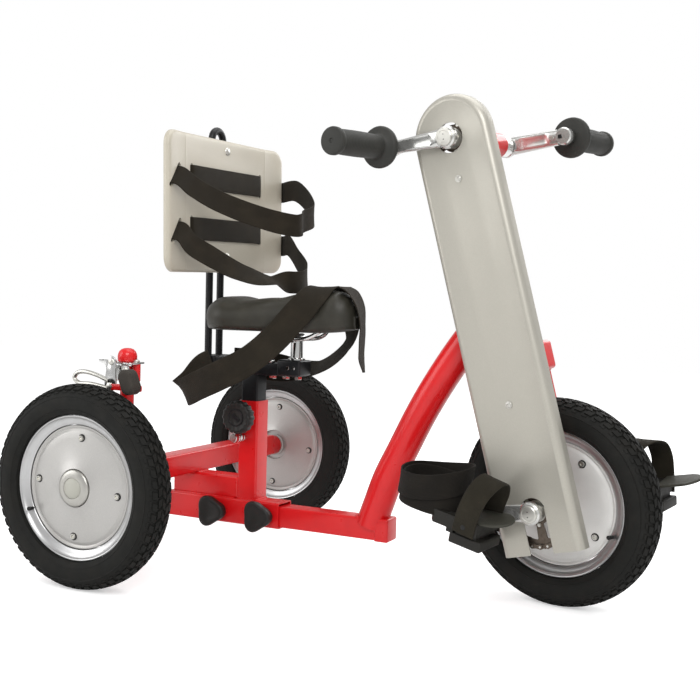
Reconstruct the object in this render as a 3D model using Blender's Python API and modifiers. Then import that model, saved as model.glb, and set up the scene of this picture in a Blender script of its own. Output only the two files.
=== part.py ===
"""Adaptive tricycle driven by hand cranks and foot cranks.

Metres, +Z up, +X forward. The pieces are drawn in a frame whose origin lies on the
ground under the rear axle, and that frame is set so that the world origin is on the
ground in the middle of the whole machine.
"""
import math

import bmesh
import bpy
from mathutils import Matrix, Vector

# General
GAP = 0.0003
RUNNING_GAP = 0.0006
WELD = 0.0012

# Wheels
TYRE_RADIUS = 0.159
TYRE_WIDTH = 0.0584
TYRE_SECTION = 0.0546
TYRE_STEPS = 32
DISC_STEPS = 24
TREAD_GROOVE = 0.0028
TREAD_RIB = 0.012
RIM_RADIUS = 0.1126
RIM_WIDTH = 0.034
RIM_WALL = 0.0022
DISC_RADIUS = 0.096
DISC_BOLT_RADIUS = 0.077
DISC_BOLT_SIZE = 0.0052
DISC_BOLT_COUNT = 4
REAR_BOLT_START = math.radians(-10)
FRONT_BOLT_START = math.radians(42)
HUB_RING_RADIUS = 0.0295
HUB_RADIUS = 0.0215
HUB_CAP_RADIUS = 0.0288
TRACK = 0.598
HALF_TRACK = TRACK / 2
WHEELBASE = 0.667
REAR_HUB_HALF = 0.0200
FRONT_HUB_HALF = 0.0345
AXLE_HEIGHT = TYRE_RADIUS * math.cos(math.pi / TYRE_STEPS)

# Rear frame, welded from square tube
TUBE = 0.038
TUBE_CORNER = 0.0035
CROSS_TUBE_RISE = 0.0045
HUB_SIDE_GAP = 0.0012
AXLE_BOSS_LENGTH = 0.0298
CROSS_TUBE_HALF = HALF_TRACK - REAR_HUB_HALF - HUB_SIDE_GAP - AXLE_BOSS_LENGTH
AXLE_BOSS_RADIUS = 0.019
AXLE_RADIUS = 0.006
AXLE_SEAT_DEPTH = 0.045
RAIL_REAR = -0.030
SLEEVE = 0.041
SLEEVE_REAR = -0.042
SLEEVE_FRONT = 0.189
SEAT_TUBE_X = 0.1225
SEAT_TUBE_TOP = 0.278

# Boom that slides in the sleeve and carries the head tube
BEAM = 0.0366
BEAM_REAR = -0.034
BEAM_TO_TYRE = 0.103
BEAM_FRONT = WHEELBASE - TYRE_RADIUS - BEAM_TO_TYRE
RISER_SETBACK = 0.051
RISER_BENDS = ((0.057, 0.095), (0.131, 0.214), (0.240, 0.343), (0.371, 0.498),
               (0.511, 0.640), (0.695, 0.801), (0.869, 0.925))
RISER_RADIUS = 0.0254
RISER_SIDES = 16
HEAD_RADIUS = 0.0265
HEAD_BORE = 0.0175
HEAD_LOW = 0.267
HEAD_HIGH = 0.383

# Steering
HEAD_LEAN = math.radians(15.0)
STEER_AT_REST = math.radians(-11.2)
STEERER_RADIUS = 0.0143
CUP_RADIUS = 0.0250
CUP_HEIGHT = 0.0095
CROWN_LOW = 0.200
CROWN_HIGH = 0.246
CROWN_HALF = 0.060
CROWN_DEPTH = 0.036
LEG_OFFSET = 0.047
LEG_RADIUS = 0.0105
COLUMN_RADIUS = 0.0185
SHELL_RADIUS = 0.0195
LEG_SHELL_HALF = 0.011

# Hand and foot drive
SPINDLE_RADIUS = 0.0085
HAND_HEIGHT = 0.567
SPROCKET_TEETH = 26
CHAIN_PITCH = 0.0127
CHAIN_PLANE = -0.0705
SPROCKET_THICKNESS = 0.0030
CHAIN_PLATE = 0.0016
CHAIN_GAP = 0.0005
CHAIN_PLATE_HALF = 0.0042
CHAIN_WAIST_HALF = 0.0032
CHAIN_ROLLER = 0.0034
ROLLER_EVERY = 3
ARM_INNER = 0.0865
ARM_THICKNESS = 0.012
ARM_CAP_RADIUS = 0.0135
ARM_CAP_HEIGHT = 0.0034
ARM_ROOT_RADIUS = 0.017
ARM_WAIST_HALF = 0.0105
ARM_END_RADIUS = 0.0140
HAND_ARM = 0.102
FOOT_ARM = 0.089
CRANK_PHASE = math.radians(186.0)

# Chain cover
COVER_FACE = -0.084
COVER_DEPTH = 0.022
COVER_HALF = 0.0655
COVER_EDGE = 0.011
COVER_WALL = 0.0025
COVER_BOTTOM = -0.062
COVER_HAND_HOLE = 0.0225
COVER_FOOT_HOLE = 0.0210
COVER_SLOT_HALF = 0.0190
COVER_LOW_SCREW = 0.160
COVER_SCREW_DROP = 0.0635
COVER_SCREWS = (COVER_LOW_SCREW, HAND_HEIGHT - COVER_SCREW_DROP)
COVER_SCREW_RISE = 0.0019
COVER_STAY_RADIUS = 0.004
COVER_SCREW_HEAD = 0.0055

# Grips
GRIP_PIN_RADIUS = 0.005
GRIP_START = 0.1003
GRIP_FLANGE_START = 0.1145
GRIP_FLANGE_END = 0.1255
GRIP_DISC_START = 0.2300
GRIP_END = 0.2395
GRIP_COLLAR_RADIUS = 0.0105
GRIP_FLANGE_RADIUS = 0.032
GRIP_RADIUS = 0.018
GRIP_DISC_RADIUS = 0.0205
GRIP_PIN_END = 0.2280

# Pedals and foot holders, measured from the pedal axle
PEDAL_INNER = 0.1075
PEDAL_WIDTH = 0.060
PEDAL_LENGTH = 0.058
PEDAL_TOP = -0.016
PEDAL_THICKNESS = 0.020
PEDAL_TUBE_RADIUS = 0.0092
PEDAL_PIN_RADIUS = 0.0055
PEDAL_WEB_HALF = 0.0060
SOLE_TOP = 0.0112
SOLE_BOTTOM = -0.0155
SOLE_HEEL = -0.070
SOLE_SHOULDER = 0.045
SOLE_TOE = 0.084
SOLE_HALF = 0.0325
TOE_HALF = 0.020
STRAP_THICKNESS = 0.0024
HEEL_BAND_REAR = -0.1115
HEEL_BAND_FRONT = 0.016
HEEL_BAND_HEIGHT = 0.046
HEEL_BAND_HALF = 0.0325
TOE_STRAP_WIDTH = 0.034
TOE_STRAP_X = 0.049
TOE_STRAP_TOP = 0.072
TOE_STRAP_HALF = 0.0322
NEAR_PEDAL_PITCH = math.radians(-11.0)
FAR_PEDAL_PITCH = math.radians(3.0)

# Seat
MAST = 0.032
MAST_BOTTOM = SEAT_TUBE_TOP - 0.128
SEAT_BAR_TOP = 0.352
SEAT_BAR_HEIGHT = 0.028
SEAT_BAR_FRONT = 0.221
SEAT_BAR_REAR = 0.050
SEAT_BAR_STEP = 0.007
SEAT_COLLAR_LENGTH = 0.042
HOOP_BLOCK_BOTTOM = SEAT_BAR_TOP - 0.030
HOOP_BLOCK_TOP = SEAT_BAR_TOP + 0.002
HOOP_BLOCK_REAR = 0.022
SEAT_BOLTS = (0.160, 0.186, 0.210)
SEAT_TOP_BOLTS = (0.090, 0.157)
SEAT_BOLT_RADIUS = 0.0062
SEAT_BOLT_HEIGHT = 0.0060
POST_X = 0.206
POST_RADIUS = 0.0105
POST_TOP = SEAT_BAR_TOP + 0.0375
SADDLE_REAR = 0.058
SADDLE_FRONT = 0.322
SADDLE_BOTTOM = POST_TOP + 0.0095
SADDLE_LENGTH = SADDLE_FRONT - SADDLE_REAR
SADDLE_REAR_HALF = 0.085
SADDLE_NOSE_HALF = 0.036
SADDLE_NOSE_LIFT = 0.009
RAIL_WIRE_RADIUS = 0.0035
RAIL_WIRE_HALF = 0.0225

# Backrest
HOOP_X = 0.0365
HOOP_RADIUS = 0.00635
HOOP_HALF = 0.017
HOOP_BOTTOM = SEAT_BAR_TOP - 0.060
PLATE_RADIUS = 0.019
PANEL_FACE = 0.060
PANEL_HALF = 0.180
PANEL_LIFT = 0.147
PANEL_HEIGHT = 0.230
PANEL_BOTTOM = SEAT_BAR_TOP + PANEL_LIFT
PANEL_TOP = PANEL_BOTTOM + PANEL_HEIGHT
HOOP_APEX = PANEL_TOP + 0.025
PANEL_CORNER = 0.025
PANEL_ROLL = math.radians(1.6)
PANEL_RIM = 0.0125
PANEL_WALL = 0.005
PANEL_WING_WIDTH = 0.055
PANEL_CREASE = PANEL_HALF - PANEL_WING_WIDTH
PANEL_WING = math.radians(8.0)
SLOT_WIDTH = 0.0090
STRAP_WIDTH = 0.038
LAP_BELT_WIDTH = 0.050
CENTRE_SLOT = PANEL_CREASE - 0.017
UPPER_SLOT_Z = PANEL_TOP - 0.071
LOWER_SLOT_Z = PANEL_BOTTOM + 0.073
UPPER_WING_SLOT = ((0.036 - PANEL_HALF, UPPER_SLOT_Z + 0.018), (0.004 - PANEL_HALF, UPPER_SLOT_Z - 0.022))
LOWER_WING_SLOT = ((0.039 - PANEL_HALF, LOWER_SLOT_Z + 0.015), (0.007 - PANEL_HALF, LOWER_SLOT_Z - 0.026))
PANEL_BOLTS = (PANEL_BOTTOM + 0.028, PANEL_TOP - 0.019)

# Clamp knobs, the pull pin and the parking brake
BOOM_KNOBS = (0.062, 0.156)
BOOM_KNOB_RADIUS = 0.0215
BOOM_KNOB_LOBE = 0.0030
KNOB_STEM_RADIUS = 0.004
KNOB_REACH = 0.0020
KNOB_DEPTH = 0.024
SEAT_KNOB_Z = SEAT_TUBE_TOP - 0.026
SEAT_KNOB_RADIUS = 0.0278
SEAT_KNOB_LOBE = 0.0009
PULL_PIN_Z = SEAT_TUBE_TOP - 0.063
PULL_PIN_X = 0.112
PULL_PIN_RADIUS = 0.0035
BRAKE_POST = (0.022, 0.026 - CROSS_TUBE_HALF)
BRAKE_POST_RADIUS = 0.011
BRAKE_OVER_TYRE = 0.0408
BRAKE_POST_TOP = AXLE_HEIGHT + TYRE_RADIUS + BRAKE_OVER_TYRE
BRAKE_CAP_RADIUS = 0.0135
BRAKE_PIVOT = (0.018, BRAKE_POST_TOP - 0.008)
BRAKE_ARM_Y = BRAKE_POST[1] - 0.030
BRAKE_PAD_ENDS = ((0.068, BRAKE_POST_TOP - 0.027), (0.082, BRAKE_POST_TOP - 0.046))
BRAKE_PAD_RADIUS = 0.0143

FINISHES = {
    "red_paint": ((0.70, 0.020, 0.025), 0.32, 0.0),
    "silver_paint": ((0.58, 0.56, 0.50), 0.42, 0.55),
    "disc_silver": ((0.50, 0.47, 0.43), 0.40, 0.35),
    "chrome": ((0.78, 0.78, 0.76), 0.12, 1.0),
    "steel": ((0.55, 0.55, 0.53), 0.35, 1.0),
    "tyre_rubber": ((0.012, 0.012, 0.012), 0.80, 0.0),
    "grip_rubber": ((0.050, 0.050, 0.046), 0.65, 0.0),
    "black_plastic": ((0.014, 0.014, 0.015), 0.40, 0.0),
    "black_paint": ((0.010, 0.010, 0.011), 0.35, 0.0),
    "webbing": ((0.022, 0.018, 0.013), 0.85, 0.0),
    "saddle_skin": ((0.035, 0.033, 0.026), 0.55, 0.0),
    "panel_plastic": ((0.50, 0.44, 0.37), 0.45, 0.0),
    "ivory_plastic": ((0.62, 0.58, 0.47), 0.35, 0.0),
    "chain_steel": ((0.10, 0.09, 0.08), 0.40, 1.0),
}


def clear_scene():
    """Take away the objects and collections of the file that the script runs in."""
    for item in list(bpy.data.objects):
        bpy.data.objects.remove(item, do_unlink=True)
    for group in list(bpy.data.collections):
        bpy.data.collections.remove(group)


clear_scene()
PARTS = bpy.data.collections.new("adaptive_tricycle")
GUIDES = bpy.data.collections.new("cutters_and_guides")
bpy.context.scene.collection.children.link(PARTS)
bpy.context.scene.collection.children.link(GUIDES)


def datum(name, parent, location=(0, 0, 0), turn=(0, 0, 0)):
    """An empty that carries pieces in its own frame."""
    empty = bpy.data.objects.new(name, None)
    empty.empty_display_size = 0.05
    empty.location = location
    empty.rotation_euler = turn
    empty.parent = parent
    GUIDES.objects.link(empty)
    return empty


def finish_material(name, finish):
    colour, roughness, metallic = FINISHES[finish]
    material = bpy.data.materials.new(name + "_finish")
    material.use_nodes = True
    shader = material.node_tree.nodes["Principled BSDF"]
    shader.inputs["Base Color"].default_value = (*colour, 1.0)
    shader.inputs["Roughness"].default_value = roughness
    shader.inputs["Metallic"].default_value = metallic
    material.diffuse_color = (*colour, 1.0)
    return material


def piece(name, data, parent, finish, turn=(0, 0, 0), location=(0, 0, 0)):
    """A named sub-part from a mesh, a curve or a bmesh, in its parent's frame."""
    if isinstance(data, bmesh.types.BMesh):
        data = settle_mesh(name, data)
    item = bpy.data.objects.new(name, data)
    item.parent = parent
    item.rotation_euler = turn
    item.location = location
    data.materials.append(finish_material(name, finish))
    PARTS.objects.link(item)
    return item


def guide(name, data, parent, turn=(0, 0, 0), location=(0, 0, 0)):
    """A cutter or a shape to be joined, kept out of the model itself."""
    if isinstance(data, bmesh.types.BMesh):
        data = settle_mesh(name, data)
    item = bpy.data.objects.new(name, data)
    item.parent = parent
    item.rotation_euler = turn
    item.location = location
    item.hide_render = True
    item.display_type = "WIRE"
    GUIDES.objects.link(item)
    return item


def settle_mesh(name, bm):
    bmesh.ops.recalc_face_normals(bm, faces=bm.faces)
    mesh = bpy.data.meshes.new(name)
    bm.to_mesh(mesh)
    bm.free()
    mesh.shade_smooth()
    mesh.set_sharp_from_angle(angle=math.radians(35))
    return mesh


def combine(target, shapes, operation):
    for shape in shapes:
        change = target.modifiers.new(operation.lower() + "_" + shape.name, "BOOLEAN")
        change.operation = operation
        change.solver = "EXACT"
        change.object = shape


def join(target, *shapes):
    combine(target, shapes, "UNION")


def carve(target, *shapes):
    combine(target, shapes, "DIFFERENCE")


def box(low, high, corner=0.0, along=None, segments=1):
    """A block between two corners. Edges along one axis, or all of them, can be rounded."""
    bm = bmesh.new()
    size = [high[i] - low[i] for i in range(3)]
    middle = [(high[i] + low[i]) / 2 for i in range(3)]
    place = Matrix.Translation(middle) @ Matrix.Diagonal((*size, 1.0))
    bmesh.ops.create_cube(bm, size=1.0, matrix=place)
    if corner > 0:
        edges = list(bm.edges)
        if along is not None:
            edges = [edge for edge in bm.edges if runs_along(edge, along)]
        bmesh.ops.bevel(bm, geom=edges, offset=corner, segments=segments, profile=0.5,
                        affect="EDGES", material=-1)
    return bm


def runs_along(edge, axis):
    run = edge.verts[1].co - edge.verts[0].co
    return abs(run["XYZ".index(axis)]) > 0.9 * run.length


def rod(start, end, radius, sides=16, end_radius=None, corner=0.0):
    """A cylinder or cone between two points."""
    start = Vector(start)
    end = Vector(end)
    run = end - start
    bm = bmesh.new()
    place = Matrix.Translation((start + end) / 2) @ run.to_track_quat("Z", "X").to_matrix().to_4x4()
    bmesh.ops.create_cone(bm, cap_ends=True, segments=sides, radius1=radius,
                          radius2=radius if end_radius is None else end_radius,
                          depth=run.length, matrix=place)
    if corner > 0:
        rims = [edge for edge in bm.edges if min(len(face.verts) for face in edge.link_faces) < sides
                and max(len(face.verts) for face in edge.link_faces) == sides]
        bmesh.ops.bevel(bm, geom=rims, offset=corner, segments=1, profile=0.5,
                        affect="EDGES", material=-1)
    return bm


def drill(start, end, radius, sides=12):
    """A round cutter whose flats, and not its corners, stand at the radius."""
    return rod(start, end, radius / math.cos(math.pi / sides), sides)


def slab(outline, low, high, edge=0.0, segments=1, both=False):
    """An outline in X and Z drawn out along Y. The face at low, or both, gets a rounded edge."""
    bm = bmesh.new()
    corners = [bm.verts.new((x, low, z)) for x, z in outline]
    first = bm.faces.new(corners)
    drawn = bmesh.ops.extrude_face_region(bm, geom=[first])
    moved = [item for item in drawn["geom"] if isinstance(item, bmesh.types.BMVert)]
    bmesh.ops.translate(bm, verts=moved, vec=(0, high - low, 0))
    bmesh.ops.recalc_face_normals(bm, faces=bm.faces)
    if edge > 0:
        rims = [side for side in bm.edges if all(abs(v.co.y - low) < 1e-6 for v in side.verts)]
        if both:
            rims += [side for side in bm.edges if all(abs(v.co.y - high) < 1e-6 for v in side.verts)]
        bmesh.ops.bevel(bm, geom=rims, offset=edge, segments=segments, profile=0.5,
                        affect="EDGES", material=-1)
    return bm


def arc(centre, radius, start, end, steps):
    """Points on an arc in degrees, both ends included."""
    points = []
    for step in range(steps + 1):
        angle = math.radians(start + (end - start) * step / steps)
        points.append((centre[0] + radius * math.cos(angle), centre[1] + radius * math.sin(angle)))
    return points


def smooth_route(points, per_span, closed=False):
    """Points on one smooth curve through the given ones."""
    points = [Vector(point) for point in points]
    count = len(points)
    spans = count if closed else count - 1
    route = []
    for span in range(spans):
        if closed:
            a, b, c, d = (points[(span + k) % count] for k in (-1, 0, 1, 2))
        else:
            a = points[max(span - 1, 0)]
            b = points[span]
            c = points[span + 1]
            d = points[min(span + 2, count - 1)]
        for step in range(per_span):
            t = step / per_span
            route.append(0.5 * (2 * b + (c - a) * t + (2 * a - 5 * b + 4 * c - d) * t ** 2
                                + (3 * b - a - 3 * c + d) * t ** 3))
    if not closed:
        route.append(points[-1])
    return route


def wire(name, points, radius, sides=2, closed=False):
    """A round wire or tube along points."""
    curve = bpy.data.curves.new(name, "CURVE")
    curve.dimensions = "3D"
    curve.resolution_u = 1
    spline = curve.splines.new("POLY")
    spline.points.add(len(points) - 1)
    for knot, point in zip(spline.points, points):
        knot.co = (*point, 1.0)
    spline.use_cyclic_u = closed
    curve.bevel_depth = radius
    curve.bevel_resolution = sides
    curve.use_fill_caps = not closed
    return curve


def as_mesh(curve, parent, name):
    """A curve as a closed mesh guide that can be joined or cut."""
    holder = bpy.data.objects.new(name + "_curve", curve)
    bpy.context.scene.collection.objects.link(holder)
    bpy.context.view_layer.update()
    shape = holder.evaluated_get(bpy.context.evaluated_depsgraph_get())
    mesh = bpy.data.meshes.new_from_object(shape)
    bm = bmesh.new()
    bm.from_mesh(mesh)
    bmesh.ops.remove_doubles(bm, verts=bm.verts, dist=0.00001)
    bpy.data.objects.remove(holder)
    return guide(name, bm, parent)


def turned_mesh(name, profile, start=0.0):
    """An outline in radius and height, as the edge that a Screw modifier turns."""
    bm = bmesh.new()
    verts = [bm.verts.new((r * math.cos(start), r * math.sin(start), z)) for r, z in profile]
    for one, two in zip(verts, verts[1:]):
        bm.edges.new((one, two))
    if profile[0][0] > 1e-6:
        bm.edges.new((verts[-1], verts[0]))
    mesh = bpy.data.meshes.new(name)
    bm.to_mesh(mesh)
    bm.free()
    return mesh


def add_screw(item, steps):
    turn = item.modifiers.new("turned", "SCREW")
    turn.axis = "Z"
    turn.steps = steps
    turn.render_steps = steps
    turn.use_merge_vertices = True
    turn.merge_threshold = 0.00001
    turn.use_smooth_shade = True
    turn.use_normal_calculate = False


def ribbon(name, rows, parent, finish, thickness, closed=False):
    """Flat webbing: each row holds the two edge points of the strap at one place."""
    bm = bmesh.new()
    pairs = [(bm.verts.new(one), bm.verts.new(two)) for one, two in rows]
    links = list(zip(pairs, pairs[1:]))
    if closed:
        links.append((pairs[-1], pairs[0]))
    for (a, b), (c, d) in links:
        bm.faces.new((a, b, d, c))
    mesh = bpy.data.meshes.new(name)
    bmesh.ops.recalc_face_normals(bm, faces=bm.faces)
    bm.to_mesh(mesh)
    bm.free()
    mesh.shade_smooth()
    item = piece(name, mesh, parent, finish)
    shell = item.modifiers.new("thickness", "SOLIDIFY")
    shell.thickness = thickness
    shell.offset = 0.0
    shell.use_even_offset = True
    return item


def strap_rows(points, width, lean):
    """Edge points of a strap along a route, its width laid square to the route."""
    rows = []
    count = len(points)
    for index, point in enumerate(points):
        before = points[max(index - 1, 0)]
        after = points[min(index + 1, count - 1)]
        run = (after - before).normalized()
        across = Vector(lean[index]) if isinstance(lean, list) else Vector(lean)
        across = (across - across.dot(run) * run).normalized() * width / 2
        rows.append((point + across, point - across))
    return rows


def tyre_profile():
    """Section of the tyre: side walls, shoulders and a grooved tread."""
    half = TYRE_WIDTH / 2
    middle = TYRE_RADIUS - TYRE_SECTION / 2
    bead = RIM_RADIUS + GAP
    rib = TREAD_RIB / 2
    groove = TREAD_GROOVE
    crown = [(TYRE_RADIUS, rib),
             (TYRE_RADIUS - groove, rib + 0.0022),
             (TYRE_RADIUS - 0.0012, rib + 0.0054),
             (TYRE_RADIUS - 0.0080, half - 0.0050),
             (middle + 0.0050, half),
             (bead, RIM_WIDTH / 2 + 0.0008)]
    upper = [(r, z) for r, z in reversed(crown)]
    lower = [(r, -z) for r, z in crown]
    return upper + lower


def rim_profile():
    """Channel section of the rim, open outwards under the tyre."""
    half = RIM_WIDTH / 2
    inner = DISC_RADIUS + 0.0010
    well = inner + RIM_WALL
    return [(RIM_RADIUS, half),
            (well, half * 0.5),
            (well, -half * 0.5),
            (RIM_RADIUS, -half),
            (RIM_RADIUS - 0.0035, -half - 0.0006),
            (inner, -half * 0.62),
            (inner, half * 0.62),
            (RIM_RADIUS - 0.0035, half + 0.0006)]


def disc_profile(hub_half, bore):
    """Pressed wheel disc with its hub, drawn as half and mirrored."""
    side = [(bore, hub_half),
            (HUB_RADIUS, hub_half),
            (HUB_RADIUS, hub_half - 0.0065),
            (HUB_RING_RADIUS, hub_half - 0.0068),
            (HUB_RING_RADIUS + 0.002, 0.0128),
            (DISC_RADIUS - 0.012, 0.0105),
            (DISC_RADIUS, 0.0070)]
    return side + [(r, -z) for r, z in reversed(side)]


def wheel(name, parent, hub_half, bore, bolt_start, lean=0.0):
    """Tyre, rim and bolted disc of one wheel on its axle along Y, a flat of the tyre downwards."""
    spin = math.pi / 2 + math.pi / TYRE_STEPS + lean
    upright = (-math.pi / 2, 0, 0)
    tyre = piece(name + "_tyre", turned_mesh(name + "_tyre", tyre_profile(), spin), parent,
                 "tyre_rubber", upright)
    add_screw(tyre, TYRE_STEPS)
    rim = piece(name + "_rim", turned_mesh(name + "_rim", rim_profile(), spin), parent,
                "chrome", upright)
    add_screw(rim, TYRE_STEPS)
    disc = piece(name + "_disc", turned_mesh(name + "_disc", disc_profile(hub_half, bore), spin),
                 parent, "disc_silver", upright)
    add_screw(disc, DISC_STEPS)
    bolts = []
    for index in range(DISC_BOLT_COUNT):
        angle = bolt_start + index * 2 * math.pi / DISC_BOLT_COUNT
        x = DISC_BOLT_RADIUS * math.cos(angle)
        z = DISC_BOLT_RADIUS * math.sin(angle)
        bolts.append(guide(f"{name}_bolt_{index}",
                           rod((x, -0.0135, z), (x, 0.0135, z), DISC_BOLT_SIZE, 6), parent))
    join(disc, *bolts)


CROSS_Z = AXLE_HEIGHT + CROSS_TUBE_RISE
CROSS_BOTTOM = CROSS_Z - TUBE / 2
CROSS_TOP = CROSS_Z + TUBE / 2
RAIL_BOTTOM = CROSS_BOTTOM - TUBE
SLEEVE_Z = RAIL_BOTTOM - SLEEVE / 2
ARM_OUTER = ARM_INNER + ARM_THICKNESS

MACHINE = datum("machine", None)
HEAD = datum("head_angle", MACHINE, (WHEELBASE, 0, AXLE_HEIGHT), (0, -HEAD_LEAN, 0))
STEER = datum("steered_front", HEAD, turn=(0, 0, STEER_AT_REST))


def build_rear_frame():
    half = TUBE / 2
    frame = piece("rear_frame", box((SLEEVE_REAR, -SLEEVE / 2, SLEEVE_Z - SLEEVE / 2),
                                    (SLEEVE_FRONT, SLEEVE / 2, SLEEVE_Z + SLEEVE / 2),
                                    TUBE_CORNER, "X"), MACHINE, "red_paint")
    rail = guide("rail", box((RAIL_REAR, -half, RAIL_BOTTOM - WELD),
                             (SEAT_TUBE_X - half + WELD, half, CROSS_BOTTOM + WELD),
                             TUBE_CORNER, "X"), MACHINE)
    cross = guide("cross_tube", box((-half, -CROSS_TUBE_HALF, CROSS_BOTTOM),
                                    (half, CROSS_TUBE_HALF, CROSS_TOP), TUBE_CORNER, "Y"), MACHINE)
    seat_tube = guide("seat_tube", box((SEAT_TUBE_X - half, -half, RAIL_BOTTOM - WELD),
                                       (SEAT_TUBE_X + half, half, SEAT_TUBE_TOP),
                                       TUBE_CORNER, "Z"), MACHINE)
    bosses = []
    bores = []
    for side in (-1, 1):
        outer = side * (HALF_TRACK - REAR_HUB_HALF - HUB_SIDE_GAP)
        inner = side * (CROSS_TUBE_HALF - 0.004)
        bosses.append(guide(f"axle_boss_{side}", rod((0, inner, AXLE_HEIGHT), (0, outer, AXLE_HEIGHT),
                                                     AXLE_BOSS_RADIUS, 16), MACHINE))
        bores.append(guide(f"axle_bore_{side}",
                           drill((0, outer + side * 0.01, AXLE_HEIGHT),
                                (0, outer - side * (AXLE_SEAT_DEPTH + GAP), AXLE_HEIGHT),
                                AXLE_RADIUS + GAP, 10), MACHINE))
    post_x, post_y = BRAKE_POST
    post = guide("brake_post", rod((post_x, post_y, CROSS_BOTTOM + 0.004),
                                   (post_x, post_y, BRAKE_POST_TOP), BRAKE_POST_RADIUS, 14), MACHINE)
    join(frame, rail, cross, seat_tube, *bosses, post)
    bore = (BEAM + 2 * GAP) / 2
    sleeve_bore = guide("sleeve_bore", box((SLEEVE_REAR - 0.01, -bore, SLEEVE_Z - bore),
                                           (SLEEVE_FRONT + 0.01, bore, SLEEVE_Z + bore)), MACHINE)
    bore = (MAST + 2 * GAP) / 2
    mast_bore = guide("mast_bore", box((SEAT_TUBE_X - bore, -bore, RAIL_BOTTOM + 0.004),
                                       (SEAT_TUBE_X + bore, bore, SEAT_TUBE_TOP + 0.01)), MACHINE)
    carve(frame, sleeve_bore, mast_bore, *bores)
    for index, x in enumerate(BOOM_KNOBS):
        carve(frame, guide(f"boom_knob_hole_{index}",
                           drill((x, -SLEEVE, SLEEVE_Z), (x, 0, SLEEVE_Z),
                                KNOB_STEM_RADIUS + GAP, 8), MACHINE))
    carve(frame, guide("seat_knob_hole", drill((SEAT_TUBE_X, -TUBE, SEAT_KNOB_Z),
                                              (SEAT_TUBE_X, 0, SEAT_KNOB_Z),
                                              KNOB_STEM_RADIUS + GAP, 8), MACHINE),
          guide("pull_pin_hole", drill((PULL_PIN_X, -TUBE, PULL_PIN_Z), (PULL_PIN_X, 0, PULL_PIN_Z),
                                      PULL_PIN_RADIUS + GAP, 8), MACHINE))


def build_rear_wheels():
    for name, side in (("right", -1), ("left", 1)):
        centre = datum(name + "_wheel_centre", MACHINE, (0, side * HALF_TRACK, AXLE_HEIGHT))
        wheel(name + "_wheel", centre, REAR_HUB_HALF, AXLE_RADIUS + RUNNING_GAP, REAR_BOLT_START)
        outer = side * (HALF_TRACK + REAR_HUB_HALF + 0.0028)
        head = side * (HALF_TRACK + REAR_HUB_HALF + RUNNING_GAP)
        inner = side * (HALF_TRACK - REAR_HUB_HALF - HUB_SIDE_GAP - AXLE_SEAT_DEPTH)
        axle = piece(name + "_axle", rod((0, inner, AXLE_HEIGHT), (0, outer, AXLE_HEIGHT),
                                         AXLE_RADIUS, 12), MACHINE, "steel")
        join(axle, guide(name + "_axle_head", rod((0, head, AXLE_HEIGHT), (0, outer, AXLE_HEIGHT),
                                                  0.010, 6), MACHINE))
        wall = HUB_RADIUS + RUNNING_GAP
        cap = [(0.0, REAR_HUB_HALF + 0.0090), (0.0090, REAR_HUB_HALF + 0.0082),
               (0.0150, REAR_HUB_HALF + 0.0058), (0.0168, REAR_HUB_HALF + 0.0042),
               (HUB_CAP_RADIUS - 0.0023, REAR_HUB_HALF + 0.0040), (HUB_CAP_RADIUS, REAR_HUB_HALF + 0.0022),
               (HUB_CAP_RADIUS, REAR_HUB_HALF - 0.0055), (wall, REAR_HUB_HALF - 0.0055),
               (wall, REAR_HUB_HALF + 0.0008), (0.0125, REAR_HUB_HALF + 0.0034),
               (0.0, REAR_HUB_HALF + 0.0038)]
        hub_cap = piece(name + "_hub_cap", turned_mesh(name + "_hub_cap", cap), centre,
                        "ivory_plastic", (-side * math.pi / 2, 0, 0))
        add_screw(hub_cap, 18)


def build_boom():
    half = BEAM / 2
    boom = piece("front_boom", box((BEAM_REAR, -half, SLEEVE_Z - half),
                                   (BEAM_FRONT, half, SLEEVE_Z + half), TUBE_CORNER - 0.001, "X"),
                 MACHINE, "red_paint")
    axis = Vector((-math.sin(HEAD_LEAN), 0, math.cos(HEAD_LEAN)))
    centre = Vector((WHEELBASE, 0, AXLE_HEIGHT))
    top = centre + axis * (HEAD_LOW + HEAD_HIGH) / 2
    foot = Vector((BEAM_FRONT - RISER_SETBACK, 0, SLEEVE_Z))
    knots = [tuple(foot)]
    knots += [(foot.x + x * (top.x - foot.x), 0, foot.z + z * (top.z - foot.z)) for x, z in RISER_BENDS]
    knots += [tuple(top)]
    route = smooth_route(knots, 2)
    riser = as_mesh(wire("riser", route, RISER_RADIUS, 2), MACHINE, "riser")
    head_tube = guide("head_tube", rod((0, 0, HEAD_LOW), (0, 0, HEAD_HIGH), HEAD_RADIUS, 24), HEAD)
    bore = guide("head_bore", rod((0, 0, HEAD_LOW - 0.05), (0, 0, HEAD_HIGH + 0.05), HEAD_BORE, 16), HEAD)
    join(boom, riser, head_tube)
    carve(boom, bore)
    for name, low in (("lower_headset_cup", HEAD_LOW - CUP_HEIGHT - GAP), ("upper_headset_cup", HEAD_HIGH + GAP)):
        high = low + CUP_HEIGHT
        inner = STEERER_RADIUS + RUNNING_GAP
        profile = [(inner, high), (CUP_RADIUS - 0.001, high), (CUP_RADIUS, low), (inner, low)]
        cup = piece(name, turned_mesh(name, profile), HEAD, "chrome")
        add_screw(cup, 20)


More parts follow.
